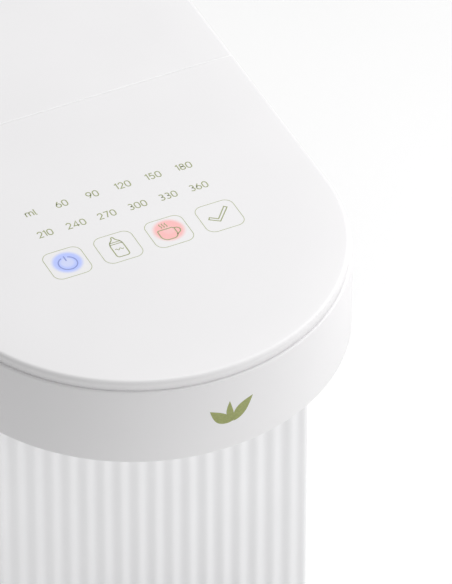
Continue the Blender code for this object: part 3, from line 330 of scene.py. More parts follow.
def mouldedPlastic(name, body, shade, roughness, grainMm=None, reliefMm=None):
    # a finely textured tool leaves an even skin: a soft broad sheen with no sharp reflection
    # the real texture is 0.05 mm and is drawn coarser so that it shows at all
    material, tree, shader = newMaterial(name)
    grain = grainMm or moulded["grainMm"]
    relief = reliefMm or moulded["reliefMm"]
    place = addNode(tree, "ShaderNodeTexCoord")
    cloud = addNode(tree, "ShaderNodeTexNoise", {"Scale": 1000 / moulded["cloudMm"], "Detail": 2.0},
                    {"Vector": place.outputs["Object"]})
    fine = addNode(tree, "ShaderNodeTexNoise", {"Scale": 1000 / grain, "Detail": 3.0, "Roughness": 0.6},
                   {"Vector": place.outputs["Object"]})
    laySkin(tree, shader, cloud, between(0.3, shade, 0.7, body), fine, roughness, {"IOR": 1.53},
            {"Strength": 0.5, "Distance": relief / 1000})
    return material


def glowThrough(material, lights):
    # painted glow: the lamps behind the thin plate are painted into its colour and emission as a soft ring of
    # colour, paler in the middle
    tree = material.node_tree
    shader = tree.nodes["Principled BSDF"]
    colour = shader.inputs["Base Color"].links[0].from_socket
    place = addNode(tree, "ShaderNodeTexCoord")
    total = None
    for lamp in lights:
        corner = (-lamp["x"], -lamp["y"], 0)
        shift = addNode(tree, "ShaderNodeMapping", {"Location": corner, "Scale": (1, 1, 0)},
                        {"Vector": place.outputs["Object"]})
        reach = addNode(tree, "ShaderNodeVectorMath", {"operation": "LENGTH"},
                        {"Vector": shift.outputs["Vector"]})
        disc = addNode(tree, "ShaderNodeMapRange", {"interpolation_type": "SMOOTHSTEP",
                       "From Min": lamp["radius"] + lamp["soft"], "From Max": lamp["radius"] - lamp["soft"],
                       "To Min": 0.0, "To Max": 1.0}, {"Value": reach.outputs["Value"]})
        middle = addNode(tree, "ShaderNodeMapRange", {"interpolation_type": "SMOOTHSTEP",
                         "From Min": lamp["hollow"] * 0.5, "From Max": lamp["hollow"],
                         "To Min": lamp["fill"], "To Max": 1.0}, {"Value": reach.outputs["Value"]})
        amount = addNode(tree, "ShaderNodeMath", {"operation": "MULTIPLY"},
                         {0: disc.outputs["Result"], 1: middle.outputs["Result"]})
        mix = addNode(tree, "ShaderNodeMixRGB", {"Color2": linearColour(lamp["colour"])},
                      {"Fac": amount.outputs["Value"], "Color1": colour})
        colour = mix.outputs["Color"]
        if total:
            amount = addNode(tree, "ShaderNodeMath", {"operation": "ADD"},
                             {0: total.outputs["Value"], 1: amount.outputs["Value"]})
        total = amount
    shine = addNode(tree, "ShaderNodeMath", {"operation": "MULTIPLY", 1: lights[0]["shine"]},
                    {0: total.outputs["Value"]})
    setNode(tree, shader, {}, {"Base Color": colour, "Emission Color": colour,
            "Emission Strength": shine.outputs["Value"]})
    return material


def frostedCopolyester(name):
    # moulded clear with a fine inner frost, so it passes light but blurs what stands behind it
    material, tree, shader = newMaterial(name)
    place = addNode(tree, "ShaderNodeTexCoord")
    frost = addNode(tree, "ShaderNodeTexNoise", {"Scale": 1000 / 1.2, "Detail": 2.0},
                    {"Vector": place.outputs["Object"]})
    cloud = addNode(tree, "ShaderNodeTexNoise", {"Scale": 1000 / 45, "Detail": 1.0},
                    {"Vector": place.outputs["Object"]})
    laySkin(tree, shader, cloud, between(0.3, "#f1f5f6", 0.7, "#f8fbfc"), frost, (0.26, 0.36),
            {"IOR": 1.57, "Transmission Weight": 0.14})
    return material


def silicone(name, body, shade):
    # cured in a polished mould: milky, slightly see-through at its edges, with a dull grip
    material, tree, shader = newMaterial(name)
    place = addNode(tree, "ShaderNodeTexCoord")
    dust = addNode(tree, "ShaderNodeTexNoise", {"Scale": 1000 / 1.5, "Detail": 4.0},
                   {"Vector": place.outputs["Object"]})
    laySkin(tree, shader, dust, between(0.35, shade, 0.65, body), dust, (0.42, 0.58),
            {"IOR": 1.41, "Subsurface Weight": 0.25, "Subsurface Radius": (0.003, 0.003, 0.003)})
    return material


def metal(name, body, shade, roughness, lineMm, along=(1, 1, 40)):
    # the tool's fine lines stretch the highlight across them
    material, tree, shader = newMaterial(name)
    place = addNode(tree, "ShaderNodeTexCoord")
    stretch = addNode(tree, "ShaderNodeMapping", {"Scale": along}, {"Vector": place.outputs["Object"]})
    lines = addNode(tree, "ShaderNodeTexNoise", {"Scale": 1000 / lineMm / max(along), "Detail": 3.0},
                    {"Vector": stretch.outputs["Vector"]})
    laySkin(tree, shader, lines, between(0.3, shade, 0.7, body), lines, roughness, {"Metallic": 1.0},
            {"Strength": 0.3, "Distance": 0.00001})
    return material


def solderMask(name):
    # green lacquer over copper tracks: the tracks stand up slightly and read a shade lighter
    material, tree, shader = newMaterial(name)
    place = addNode(tree, "ShaderNodeTexCoord")
    tracks = addNode(tree, "ShaderNodeTexBrick", {"Scale": 1000 / 9, "Mortar Size": 0.03,
                     "Color1": linearColour("#12512f"), "Color2": linearColour("#0f4628"),
                     "Mortar": linearColour("#2c7a4c")}, {"Vector": place.outputs["Object"]})
    bump = addNode(tree, "ShaderNodeBump", {"Strength": 0.4, "Distance": 0.00004},
                   {"Height": tracks.outputs["Fac"]})
    setNode(tree, shader, {"Roughness": 0.32, "Coat Weight": 0.4},
            {"Base Color": tracks.outputs["Color"], "Normal": bump.outputs["Normal"]})
    return material


def screenInk(name, body, shade):
    # pad-printed ink: matt, a touch uneven where the pad lifted
    material, tree, shader = newMaterial(name)
    place = addNode(tree, "ShaderNodeTexCoord")
    patch = addNode(tree, "ShaderNodeTexNoise", {"Scale": 1000 / 0.8, "Detail": 2.0},
                    {"Vector": place.outputs["Object"]})
    laySkin(tree, shader, patch, between(0.35, shade, 0.65, body), patch, (0.45, 0.6), {}, reach=(0, 1))
    return material


keys = {
    "centreX": 0.0033,
    "rowY": case["noseY"] - 0.0023,
    "pitch": 0.0220,
    "width": 0.0163,
    "depth": 0.0165,
    "corner": 0.0037,
}
powerAt = (keys["centreX"] - 1.5 * keys["pitch"], keys["rowY"])
cupAt = (keys["centreX"] + 0.5 * keys["pitch"], keys["rowY"])
# painted glow: where and how the lamps behind the panel are painted onto its plate
lamps = [
    {"x": powerAt[0] + 0.0002, "y": powerAt[1] + 0.0003, "radius": 0.0060, "soft": 0.0011, "hollow": 0.0036,
     "fill": 0.62, "colour": "#b6c4fa", "shine": 0.10},
    {"x": cupAt[0] + 0.0003, "y": cupAt[1] + 0.0008, "radius": 0.0062, "soft": 0.0012, "hollow": 0.0030,
     "fill": 0.86, "colour": "#f5b9b8", "shine": 0.10},
]

whiteAbs = mouldedPlastic("whiteAbs", "#f2f1f2", "#efeeef", (0.36, 0.44))
# the panel's ABS carries the painted glow of the lamps behind it
panelAbsPaintedGlow = glowThrough(mouldedPlastic("panelAbsPaintedGlow", "#f2f1f2", "#f0eff0", (0.34, 0.42)), lamps)
# painted light: the column is the head's white ABS drawn lighter, standing in for the extra light that
# reaches it
ribbedAbsPaintedLight = mouldedPlastic("ribbedAbsPaintedLight", "#f8f8f9", "#f5f5f6", (0.38, 0.46))
innerPlastic = mouldedPlastic("innerPlastic", "#d9dadc", "#cfd0d3", (0.45, 0.55), grainMm=1.2)
blackNylon = mouldedPlastic("blackNylon", "#232326", "#1b1b1e", (0.4, 0.55), grainMm=0.8)
footRubber = mouldedPlastic("footRubber", "#55565a", "#46474b", (0.7, 0.85), grainMm=0.7, reliefMm=0.03)
frostedTank = frostedCopolyester("frostedTank")
milkySilicone = silicone("milkySilicone", "#e6e5e1", "#dcdbd6")
# painted highlight: the seam bead is drawn near-white so the seam reads as the bright line its edge would
# catch
paintedSeamHighlight = silicone("paintedSeamHighlight", "#fdfdfd", "#f9f9fa")
stainless = metal("drawnStainless", "#c9cacc", "#b9babd", (0.2, 0.32), 0.3)
turnedBrass = metal("turnedBrass", "#cda55a", "#bd9449", (0.22, 0.34), 0.3, (40, 40, 1))
castAluminium = metal("castAluminium", "#b6b7b9", "#a4a5a8", (0.4, 0.55), 2.0, (1, 1, 1))
boardGreen = solderMask("boardGreen")
frostedAcrylic = mouldedPlastic("frostedAcrylic", "#f2f3f5", "#e9ebee", (0.25, 0.35), grainMm=1.0)
oliveInk = screenInk("oliveInk", "#a6ad80", "#9ba273")
paleInk = screenInk("paleInk", "#b9c09c", "#afb690")
blueInk = screenInk("blueInk", "#98a5e0", "#8c9ad6")
leafInk = screenInk("leafInk", "#a3aa6c", "#989f61")
print("materials made")


# every CAD node gets its finish
finishOf = {
    "white_shell": whiteAbs,
    "inner_plastic": innerPlastic,
    "tank_plastic": frostedTank,
    "rubber": footRubber,
    "silicone": milkySilicone,
    "steel": stainless,
    "brass": turnedBrass,
    "circuit_board": boardGreen,
    "black_plastic": blackNylon,
    "light_guide": frostedAcrylic,
    "aluminium": castAluminium,
}
for entry in frame["record"]["subparts"]:
    node = nodes[entry["node"]]
    finish = finishOf[entry["material_slot"]]
    node.data.materials.clear()
    node.data.materials.append(finish)
print("finishes laid on the frame")


# control panel
band = {
    "wall": 0.0026,
    "spoutHole": 0.0165,
    "topRound": 0.0006,
    "lowRound": 0.0009,
    "floor": 0.0026,
    "lift": -0.0004,  # the band's rim, from the top of its frame node
}

plate = {
    "side": 0.0010,  # stands in from the band
    "round": 0.0017,
    "crown": 0.00045,  # the top falls away by this much towards its outer edge
    "crownWidth": 0.018,
    "skirt": 0.0029,
    "thick": 0.0050,
    "bead": 0.00052,  # bead on the panel's rear edge, which closes the seam; drawn whiter than the shell as a painted highlight along the seam
    "lip": 0.0012,  # the plate rests over the band on a step this far in
    "seamRound": 0.0003,
}
panelLowEdge = case["top"] - plate["thick"]


def seamInset(height):
    # a plate's edge at a seam stays put and only turns over at the very top
    over = max(0.0, height - (case["top"] - plate["seamRound"])) / plate["seamRound"]
    return plate["seamRound"] * (1 - math.sqrt(max(0.0, 1 - min(over, 1.0) ** 2)))


def shoulder(side, turn, level):
    # a quarter turn from the wall into the top, as (inset, height)
    angles = [math.radians(90 * i / 8) for i in range(9)]
    return [(side + turn * (1 - math.cos(a)), level - turn + turn * math.sin(a)) for a in angles]


def crownedPlaces(low, top):
    # wall, rounded shoulder and a top that levels off inwards, as (inset, height)
    level = top - plate["crown"]
    side, turn = plate["side"], plate["round"]
    places = [(side + 0.0003, low), (side, low + 0.0003), *shoulder(side, turn, level)]
    for i in range(1, 13):
        share = i / 12
        places.append((side + turn + plate["crownWidth"] * share, top - plate["crown"] * (1 - share) ** 2))
    return places


def crownedRings(outlineOf, low, top):
    return [ringAt(outlineOf(inset, height), height) for inset, height in crownedPlaces(low, top)]


def panelOutline(inset, height):
    return noseOutline(inset, case["seamY"], rearInset=seamInset(height))


def makePanel():
    work = bmesh.new()
    wall = plate["skirt"]
    pocket = wall + 0.0020
    low = panelLow.z
    rings = [ringAt(headOutline(pocket), case["top"] - 0.0024), ringAt(headOutline(pocket), low)]
    step = case["bandTop"] + band["lift"] + 0.00004
    rings += [ringAt(headOutline(wall), low), ringAt(headOutline(wall), step)]
    rings += [ringAt(headOutline(plate["lip"]), step), ringAt(headOutline(plate["lip"]), panelLowEdge)]
    rings += crownedRings(panelOutline, panelLowEdge, case["top"])
    loft(work, rings)
    piece = meshPiece("panelPlate", work, panelAbsPaintedGlow, "machine", sharp=50)
    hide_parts("control_panel")


def crownedProfile(low, top):
    # the plate's section across the machine, from its left foot over the top to its right foot
    places = crownedPlaces(low, top)
    return [(inset - case["radius"], z) for inset, z in places] + [
        (case["radius"] - inset, z) for inset, z in places[::-1]]


def makeSeamBead():
    work = bmesh.new()
    section = crownedProfile(panelLowEdge, case["top"])
    front = case["seamY"]
    loft(work, [[(x, y, z) for x, z in section] for y in (front, front + plate["bead"])])
    # painted highlight: the near-white bead paints the bright line along the seam
    piece = meshPiece("seamBead", work, paintedSeamHighlight, "machine")


makePanel()
makeSeamBead()
print("control panel made")


# printed marks
printing = {
    "proud": 0.00003,
    "sunk": 0.00012,
    "digitHigh": 0.00342,
    "digitWide": 0.00196,
    "gap": 0.00084,
    "line": 0.00046,
    "keyLine": 0.00028,
    "iconLine": 0.00046,
    "rows": (0.03365, 0.01997),  # behind the keys' row
    "columns": 0.01334,
}


def stroke(work, points, width, closed=False):
    # a flat printed line of even width along the points
    top = case["top"] + printing["proud"]
    low = top - printing["sunk"]
    line = [Vector(p) for p in points]
    if closed and (line[0] - line[-1]).length < 1e-7:
        line.pop()
    count = len(line)
    left, right = [], []
    for i, here in enumerate(line):
        before = line[i - 1] if (closed or i) else here * 2 - line[i + 1]
        after = line[(i + 1) % count] if (closed or i < count - 1) else here * 2 - line[i - 1]
        one, two = (here - before).normalized(), (after - here).normalized()
        normal = Vector((-(one + two).y, (one + two).x)).normalized()
        spread = width / 2 / max(0.5, normal.dot(Vector((-one.y, one.x))))
        left.append(here + normal * spread)
        right.append(here - normal * spread)
    corners = [[work.verts.new((*p, z)) for p in side] for z in (top, low) for side in (right, left)]
    upRight, upLeft, lowRight, lowLeft = corners
    for i in range(count if closed else count - 1):
        j = (i + 1) % count
        work.faces.new((upRight[i], upRight[j], upLeft[j], upLeft[i]))
        work.faces.new((lowRight[j], lowRight[i], lowLeft[i], lowLeft[j]))
        work.faces.new((upRight[j], upRight[i], lowRight[i], lowRight[j]))
        work.faces.new((upLeft[i], upLeft[j], lowLeft[j], lowLeft[i]))
    if not closed:
        work.faces.new((upRight[0], upLeft[0], lowLeft[0], lowRight[0]))
        work.faces.new((upLeft[-1], upRight[-1], lowRight[-1], lowLeft[-1]))


def digitStrokes(sign):
    # centre lines of the signs, in digit widths across and digit heights up
    w, h = printing["digitWide"], printing["digitHigh"]
    r = w / 2
    bend = r * 1.15
    if sign == "0":
        line = arcPoints((r, h - bend), (r, bend), 0, 180, 16) + arcPoints((r, bend), (r, bend), 180, 360, 16)
        return w, [(line, True)]
    if sign == "1":
        return 0.28 * w, [([(-0.12 * w, 0.84 * h), (0.28 * w, h), (0.28 * w, 0)], False)]
    if sign == "2":
        line = arcPoints((0.47 * w, h - 0.29 * h), (0.45 * w, 0.29 * h), 165, -35, 16)
        return 0.95 * w, [(line + [(0.02 * w, 0), (0.97 * w, 0)], False)]
    if sign == "3":
        upper = arcPoints((0.42 * w, 0.76 * h), (0.40 * w, 0.24 * h), 140, -75, 14)
        lower = arcPoints((0.42 * w, 0.27 * h), (0.47 * w, 0.27 * h), 80, -145, 16)
        return 0.9 * w, [(upper + [(0.34 * w, 0.53 * h)], False), ([(0.34 * w, 0.53 * h)] + lower, False)]
    if sign == "4":
        line = [(0.86 * w, 0), (0.86 * w, h), (0, 0.24 * h), (1.18 * w, 0.24 * h)]
        return 1.18 * w, [(line, False)]
    if sign == "5":
        line = [(0.84 * w, h), (0.20 * w, h), (0.12 * w, 0.56 * h)]
        line += arcPoints((0.44 * w, 0.31 * h), (0.48 * w, 0.31 * h), 125, -145, 16)
        return 0.92 * w, [(line, False)]
    if sign in "69":
        ring = arcPoints((r, 0.31 * h), (r, 0.31 * h), 0, 360, 24)
        tail = [(0.10 * w, 0.46 * h), (0.30 * w, 0.74 * h), (0.62 * w, h)]
        strokes = [(ring, True), (tail, False)]
        if sign == "9":
            strokes = [([(w - x, h - y) for x, y in line], closed) for line, closed in strokes]
        return w, strokes
    if sign == "7":
        return 0.92 * w, [([(0.02 * w, h), (0.94 * w, h), (0.34 * w, 0)], False)]
    if sign == "8":
        upper = arcPoints((r, 0.765 * h), (0.40 * w, 0.235 * h), 0, 360, 20)
        lower = arcPoints((r, 0.265 * h), (0.49 * w, 0.265 * h), 0, 360, 22)
        return w, [(upper, True), (lower, True)]
    if sign == "m":
        x, step = 0.72 * h, 0.78 * w
        strokes = [([(0, 0), (0, x)], False)]
        for k in range(2):
            arch = arcPoints((step * (k + 0.5), x - step / 2), step / 2, 180, 0, 12)
            strokes.append(([*arch, (step * (k + 1), 0)], False))
        return 2 * step, strokes
    hook = arcPoints((0.26 * w, 0.26 * w), 0.26 * w, 180, 275, 6)
    return 0.3 * w, [([(0, h), *hook], False)]


def makeNumbers():
    work = bmesh.new()
    rows = (("ml", "60", "90", "120", "150", "180"), ("210", "240", "270", "300", "330", "360"))
    for words, back in zip(rows, printing["rows"]):
        for k, word in enumerate(words):
            signs = [digitStrokes(sign) for sign in word]
            wide = sum(s[0] for s in signs) + printing["gap"] * (len(signs) - 1)
            x = keys["centreX"] + (k - 2.5) * printing["columns"] - wide / 2
            y = keys["rowY"] + back - printing["digitHigh"] / 2
            for advance, strokes in signs:
                for line, closed in strokes:
                    stroke(work, [(x + px, y + py) for px, py in line], printing["line"], closed)
                x += advance + printing["gap"]
    meshPiece("printedNumbers", work, oliveInk, "machine", recalc=False)


def roundedSquare(centre, width, depth, corner):
    half, tall = width / 2 - corner, depth / 2 - corner
    points = []
    for k, (across, up) in enumerate(((1, 1), (-1, 1), (-1, -1), (1, -1))):
        middle = (centre[0] + across * half, centre[1] + up * tall)
        points += arcPoints(middle, corner, 90 * k, 90 * k + 90, 10)
    return points


def keyCentre(k):
    return keys["centreX"] + (k - 1.5) * keys["pitch"], keys["rowY"]


def makeKeyFrames():
    work = bmesh.new()
    for k in range(4):
        x, y = keyCentre(k)
        frameLine = roundedSquare((x, y), keys["width"], keys["depth"], keys["corner"])
        stroke(work, frameLine, printing["keyLine"], True)
    meshPiece("printedKeyFrames", work, paleInk, "machine", recalc=False)


def makeIcon(name, k, ink, strokes):
    # a stroke is its points in millimetres from the key's centre, its width and whether it closes
    x, y = keyCentre(k)
    work = bmesh.new()
    for points, width, closed in strokes:
        stroke(work, [(x + across / 1000, y + up / 1000) for across, up in points], width, closed)
    meshPiece(name, work, ink, "machine", recalc=False)


def makePowerIcon():
    ring = arcPoints((0.2, -0.2), 3.8, 110, 430, 40)
    strokes = [(ring, 0.00058, False), ([(0.2, 4.3), (0.2, 1.3)], 0.00055, False)]
    makeIcon("printedPowerIcon", 0, blueInk, strokes)


def makeBottleIcon():
    line = printing["iconLine"]
    right = [(2.75, -1.0), (2.75, 1.2), (2.5, 2.6), (2.0, 3.7), (1.25, 4.4), (0.75, 5.0), (0.55, 5.7)]
    top = arcPoints((0, 5.7), (0.55, 0.7), 0, 180, 8)
    left = [(-x, y) for x, y in right[::-1]]
    foot = arcPoints((-1.5, -4.3), (1.25, 1.3), 180, 270, 6)
    foot += arcPoints((1.5, -4.3), (1.25, 1.3), 270, 360, 6)
    wave = [(-1.7 + 0.2 * i, -1.1 + 0.45 * math.sin(i * 0.74)) for i in range(18)]
    makeIcon("printedBottleIcon", 1, oliveInk, [
        (right + top[1:-1] + left + foot, line, True), ([(-2.3, 3.3), (2.3, 3.3)], line * 0.8, False),
        ([(-2.75, 2.2), (2.75, 2.2)], line * 0.8, False), (wave, line * 0.7, False)])


def makeCupIcon():
    line = printing["iconLine"]
    cup = [(-3.9, 1.9), (2.0, 1.9), (2.7, 1.2), (2.7, -1.0)]
    cup += arcPoints((0.1, -1.4), (2.7, 3.1), -10, -80, 10)
    cup += arcPoints((-1.6, -1.4), (2.7, 3.1), -100, -180, 10) + [(-4.25, 1.4)]
    handle = [(2.7, 1.3), (3.7, 1.2), (4.5, 0.5), (4.7, -0.5), (4.3, -1.5), (3.3, -2.2), (2.3, -2.9)]
    strokes = [(cup, line, True), (handle, line, False)]
    for x in (-1.9, -0.7, 0.5):
        steam = [(x + 0.22 * math.sin(j * 0.9), 2.9 + 0.38 * j) for j in range(8)]
        strokes.append((steam, line * 0.85, False))
    makeIcon("printedCupIcon", 2, oliveInk, strokes)


def makeCheckIcon():
    tick = [(-4.1, 0.75), (-1.15, -1.45), (3.95, 4.55), (4.95, 3.6), (-1.0, -3.05), (-4.85, -0.35)]
    makeIcon("printedCheckIcon", 3, oliveInk, [(tick, printing["iconLine"], True)])


makeNumbers()
makeKeyFrames()
makePowerIcon()
makeBottleIcon()
makeCupIcon()
makeCheckIcon()
print("marks printed")


# band of the head
def makeHeadBand():
    work = bmesh.new()
    hole = band["spoutHole"]
    rim = case["bandTop"] + band["lift"]
    rings = roundOver(headOutline, 0, rim, band["topRound"], outward=False, steps=4)
    rings += roundOver(headOutline, 0, case["bandLow"], band["lowRound"], upward=False, steps=6)
    circle = []
    for x, y in headOutline(0):
        direction = Vector((x - spout.x, y - spout.y)).normalized()
        circle.append((spout.x + direction.x * hole, spout.y + direction.y * hole))
    rings += [ringAt(circle, case["bandLow"]), ringAt(circle, case["bandLow"] + band["floor"])]
    rings += [ringAt(headOutline(band["wall"]), case["bandLow"] + band["floor"])]
    rings += [ringAt(headOutline(band["wall"]), rim)]
    loft(work, rings, closed=True)
    piece = meshPiece("headBand", work, whiteAbs, "machine")
    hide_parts("head_housing")


mark = {"height": -0.0221, "shift": 0.0018, "deep": 0.0002}


def makeLeafMark():
    # a plain sprig of two leaves, printed round the front of the band
    work = bmesh.new()
    radius = case["radius"] + 0.00003
    middle = case["top"] + mark["height"]

    def onBand(x, z, out=0.0):
        angle = math.radians(-90) + (x + mark["shift"]) / case["radius"]
        reach = radius + out
        return (reach * math.cos(angle), case["noseY"] + reach * math.sin(angle), middle + z)

    def leaf(foot, tip, fat):
        foot, tip = Vector(foot), Vector(tip)
        along = tip - foot
        side = Vector((-along.y, along.x)).normalized()
        rows = []
        for i in range(15):
            t = i / 14
            width = fat * math.sin(math.pi * t ** 0.8) + 0.00002
            centre = foot + along * t + side * (0.0006 * math.sin(math.pi * t))
            rows.append([centre + side * width * s for s in (-1, -0.5, 0, 0.5, 1)])
        loft(work, [[onBand(p.x, p.y) for p in row] + [onBand(p.x, p.y, -mark["deep"]) for p in row[::-1]]
                    for row in rows])

    leaf((-0.0004, -0.0054), (-0.0096, 0.0024), 0.0024)
    leaf((0.0004, -0.0054), (0.0090, 0.0044), 0.0025)
    leaf((0.0, -0.0054), (-0.0012, 0.0052), 0.0015)
    meshPiece("printedLeafMark", work, leafInk, "machine")


makeHeadBand()
makeLeafMark()
print("head made")


# column
column = {"corner": 0.005, "inside": 0.082, "front": 0.006, "innerCorner": 0.002}


def columnLoop():
    side, front, back = case["radius"], columnLow.y, case["seamY"]
    corner = column["corner"]
    path = [(-side, back), (-side, front + corner)]
    path += arcPoints((-side + corner, front + corner), corner, 180, 270, 12)[1:]
    path += [(side - corner, front)]
    path += arcPoints((side - corner, front + corner), corner, 270, 360, 12)[1:]
    path += [(side, back)]
    return ribbed(path)


def makeColumn():
    side, front, turn = column["inside"], columnLow.y + column["front"], column["innerCorner"]
    inside = [(side, case["seamY"]), (side, front)]
    inside += arcPoints((side - turn, front), turn, 0, -90, 5)[1:]
    inside += arcPoints((turn - side, front), turn, -90, -180, 5)
    inside += [(-side, case["seamY"])]
    work = bmesh.new()
    outline = columnLoop() + inside
    low = [work.verts.new((x, y, columnLow.z)) for x, y in outline]
    high = [work.verts.new((x, y, columnHigh.z)) for x, y in outline]
    for i in range(len(outline)):
        j = (i + 1) % len(outline)
        work.faces.new((low[i], low[j], high[j], high[i]))
    work.faces.new(low[::-1])
    work.faces.new(high)
    bmesh.ops.triangulate(work, faces=[f for f in work.faces if len(f.verts) > 4])
    # the column's lighter white is painted light, not a different plastic
    piece = meshPiece("columnRibs", work, ribbedAbsPaintedLight, "machine")
    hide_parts("column_shell")


makeColumn()
print("column made")


# tank
tank = {
    "wall": 0.0024,
    "neckInset": 0.006,
    "neckRear": 0.019,
    "neckCorner": 0.010,
    "outlet": 0.0087,
    "outletStart": -160,  # degrees, so that the outlet's points face the outline's
    "points": 720,
}


def neckOutline(inset):
    left, front = -case["radius"] + tank["neckInset"] + inset, case["tankY"] + tank["neckInset"] + inset
    rear = case["rearY"] - tank["neckRear"] - inset
    turn = tank["neckCorner"] - 0.8 * inset
    points = arcPoints((left + turn, front + turn), turn, 180, 270, 12)
    points += arcPoints((-left - turn, front + turn), turn, 270, 360, 12)
    points += arcPoints((-left - turn, rear - turn), turn, 0, 90, 12)
    points += arcPoints((left + turn, rear - turn), turn, 90, 180, 12)
    return points


def tankLoop():
    side, back, turn, front = case["radius"], case["rearY"], case["rearCorner"], case["tankY"]
    path = [(side, front), (side, back - turn)]
    path += arcPoints((side - turn, back - turn), turn, 0, 90, 40)[1:]
    path += [(-side + turn, back)]
    path += arcPoints((turn - side, back - turn), turn, 90, 180, 40)[1:]
    path += [(-side, front)]
    ribs = ribbed(path)
    left, right = ribs[-1][0], ribs[0][0]
    return [ribs[-1], *[(left + (right - left) * i / 40, front) for i in range(1, 40)], *ribs[:-1]]


def makeTank():
    work = bmesh.new()
    outside, shoulder, lip, mouth, inner = (evenly(outline, tank["points"]) for outline in (
        tankLoop(), neckOutline(0), neckOutline(0.0006), neckOutline(tank["wall"]),
        tankOutline(tank["wall"] + case["ribDepth"], case["tankY"] - case["ribDepth"])))
    low, high, top = tankLow.z, columnHigh.z, tankHigh.z
    start = tank["outletStart"]
    outlet = arcPoints(dock, tank["outlet"], start, start + 360, tank["points"])[:-1]
    rings = [ringAt(outlet, low + tank["wall"]), ringAt(outlet, low), ringAt(outside, low)]
    rings += [ringAt(outside, high), ringAt(shoulder, high), ringAt(shoulder, top - 0.0006)]
    rings += [ringAt(lip, top), ringAt(mouth, top)]
    rings += [ringAt(mouth, high - tank["wall"]), ringAt(inner, high - tank["wall"])]
    rings += [ringAt(inner, low + tank["wall"])]
    loft(work, rings, closed=True)
    piece = meshPiece("tankShell", work, frostedTank, "tank")
    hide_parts("tank_body")


def makeCollar():
    work = bmesh.new()
    rim = case["bandTop"] + band["lift"]
    rings = roundOver(tankOutline, 0, rim, band["topRound"], outward=False, steps=4)
    rings += roundOver(tankOutline, 0, case["bandLow"], band["lowRound"], upward=False, steps=6)
    rings += [ringAt(tankOutline(band["wall"]), case["bandLow"])]
    rings += [ringAt(tankOutline(band["wall"]), rim)]
    loft(work, rings, closed=True)
    piece = meshPiece("collarBand", work, whiteAbs, "tank")
    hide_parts("tank_collar")


strip = {"front": 0.0038, "depth": 0.005}  # behind the hinge pin, and below the band's top
hinge = {"barrel": 0.0030, "lug": 0.0070, "gap": 0.0003}


def cornerTurn(edgeY, inset):
    # how far round the rear corner a straight edge at this depth lies, in degrees
    turn = case["rearCorner"] - inset
    share = (edgeY - (case["rearY"] - case["rearCorner"])) / turn
    return math.degrees(math.asin(max(-1.0, min(1.0, share))))


def stripOutline(inset, height):
    # the fixed strip behind the lid: rear corners cut off by a straight front edge
    radius, back, turn = case["radius"] - inset, case["rearY"] - inset, case["rearCorner"] - inset
    start = min(cornerTurn(hingeAxis.y + strip["front"] + seamInset(height), inset), 80)
    points = arcPoints((radius - turn, back - turn), turn, start, 90, 20)
    return points + arcPoints((turn - radius, back - turn), turn, 90, 180 - start, 20)


def barrelRings(low, high):
    # a short shaft along X round the hinge axis, with its two rims broken
    rings = []
    rim = 0.0003
    for x, shrink in ((low, rim), (low + rim, 0), (high - rim, 0), (high, rim)):
        circle = arcPoints((hingeAxis.y, hingeAxis.z), hinge["barrel"] - shrink, 0, 360, 40)[:-1]
        rings.append([(x, y, z) for y, z in circle])
    return rings


def stripRings(low):
    side, turn = plate["side"], plate["round"]
    level = case["top"] - plate["crown"]
    places = [(side + 0.0010, low), (side + 0.0010, panelLowEdge), (side, panelLowEdge)]
    places += shoulder(side, turn, level)
    places += [(0.0040, case["top"] - 0.00034), (0.0060, case["top"] - 0.00025)]
    return [ringAt(stripOutline(inset, height), height) for inset, height in places]


def makeHingeStrip():
    work = bmesh.new()
    loft(work, stripRings(case["bandTop"] - strip["depth"]))
    reach = pinHigh.x
    for side in (-1, 1):
        ends = sorted((side * (reach - hinge["lug"]), side * reach))
        loft(work, barrelRings(*ends))
        front, back = hingeAxis.y, hingeAxis.y + strip["front"] + 0.001
        arm = [(front, hingeAxis.z - 0.0024), (back, hingeAxis.z - 0.0024),
               (back, hingeAxis.z + 0.0005), (front, hingeAxis.z + 0.0005)]
        loft(work, [[(x, y, z) for y, z in arm] for x in (ends[0] + 0.0001, ends[1] - 0.0001)])
    piece = meshPiece("hingeStrip", work, whiteAbs, "tank")


lid = {
    "rear": 0.0008,  # behind the hinge pin: as far as the strip leaves it room to swing
    "corner": 0.0010,
}


def lidOutline(inset, height=0.0):
    # from the seam back to just behind the hinge pin, with the start of the rear corners
    radius, back, turn = case["radius"] - inset, case["rearY"] - inset, case["rearCorner"] - inset
    front = case["tankY"] + seamInset(height)
    small = max(lid["corner"] - inset, 0.0003)
    end = cornerTurn(hingeAxis.y + lid["rear"] - seamInset(height), inset)
    points = frontTurns(radius, front, small)
    points += arcPoints((radius - turn, back - turn), turn, 0, end, 16)
    return points + arcPoints((turn - radius, back - turn), turn, 180 - end, 180, 16)


def makeLid():
    work = bmesh.new()
    loft(work, crownedRings(lidOutline, panelLowEdge, case["top"]))
    piece = meshPiece("lidPlate", work, whiteAbs, "lid", sharp=50)
    notches = []
    reach, gap = pinHigh.x, hinge["gap"]
    inner = reach - hinge["lug"] - gap  # where the lid's barrel ends at the collar's lugs
    for side in (-1, 1):
        low, high = sorted((side * inner, side * (reach + gap)))
        near, far = hingeAxis.y - 0.0035, lidHigh.y + 0.004
        box = [(low, near), (high, near), (high, far), (low, far)]
        notches.append(cutter([ringAt(box, panelLowEdge - 0.004), ringAt(box, case["top"] + 0.004)]))
    cutWith(piece, notches)
    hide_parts("tank_lid")
    barrel = bmesh.new()
    loft(barrel, barrelRings(-inner, inner))
    piece = meshPiece("lidBarrel", barrel, whiteAbs, "lid")


makeTank()
makeCollar()
makeHingeStrip()
makeLid()
print("tank made")


# spring of the tank's valve
spring = {"turns": 4.5, "flat": 0.75, "wire": 0.0005, "steps": 28, "sides": 10, "pressed": 0.89}


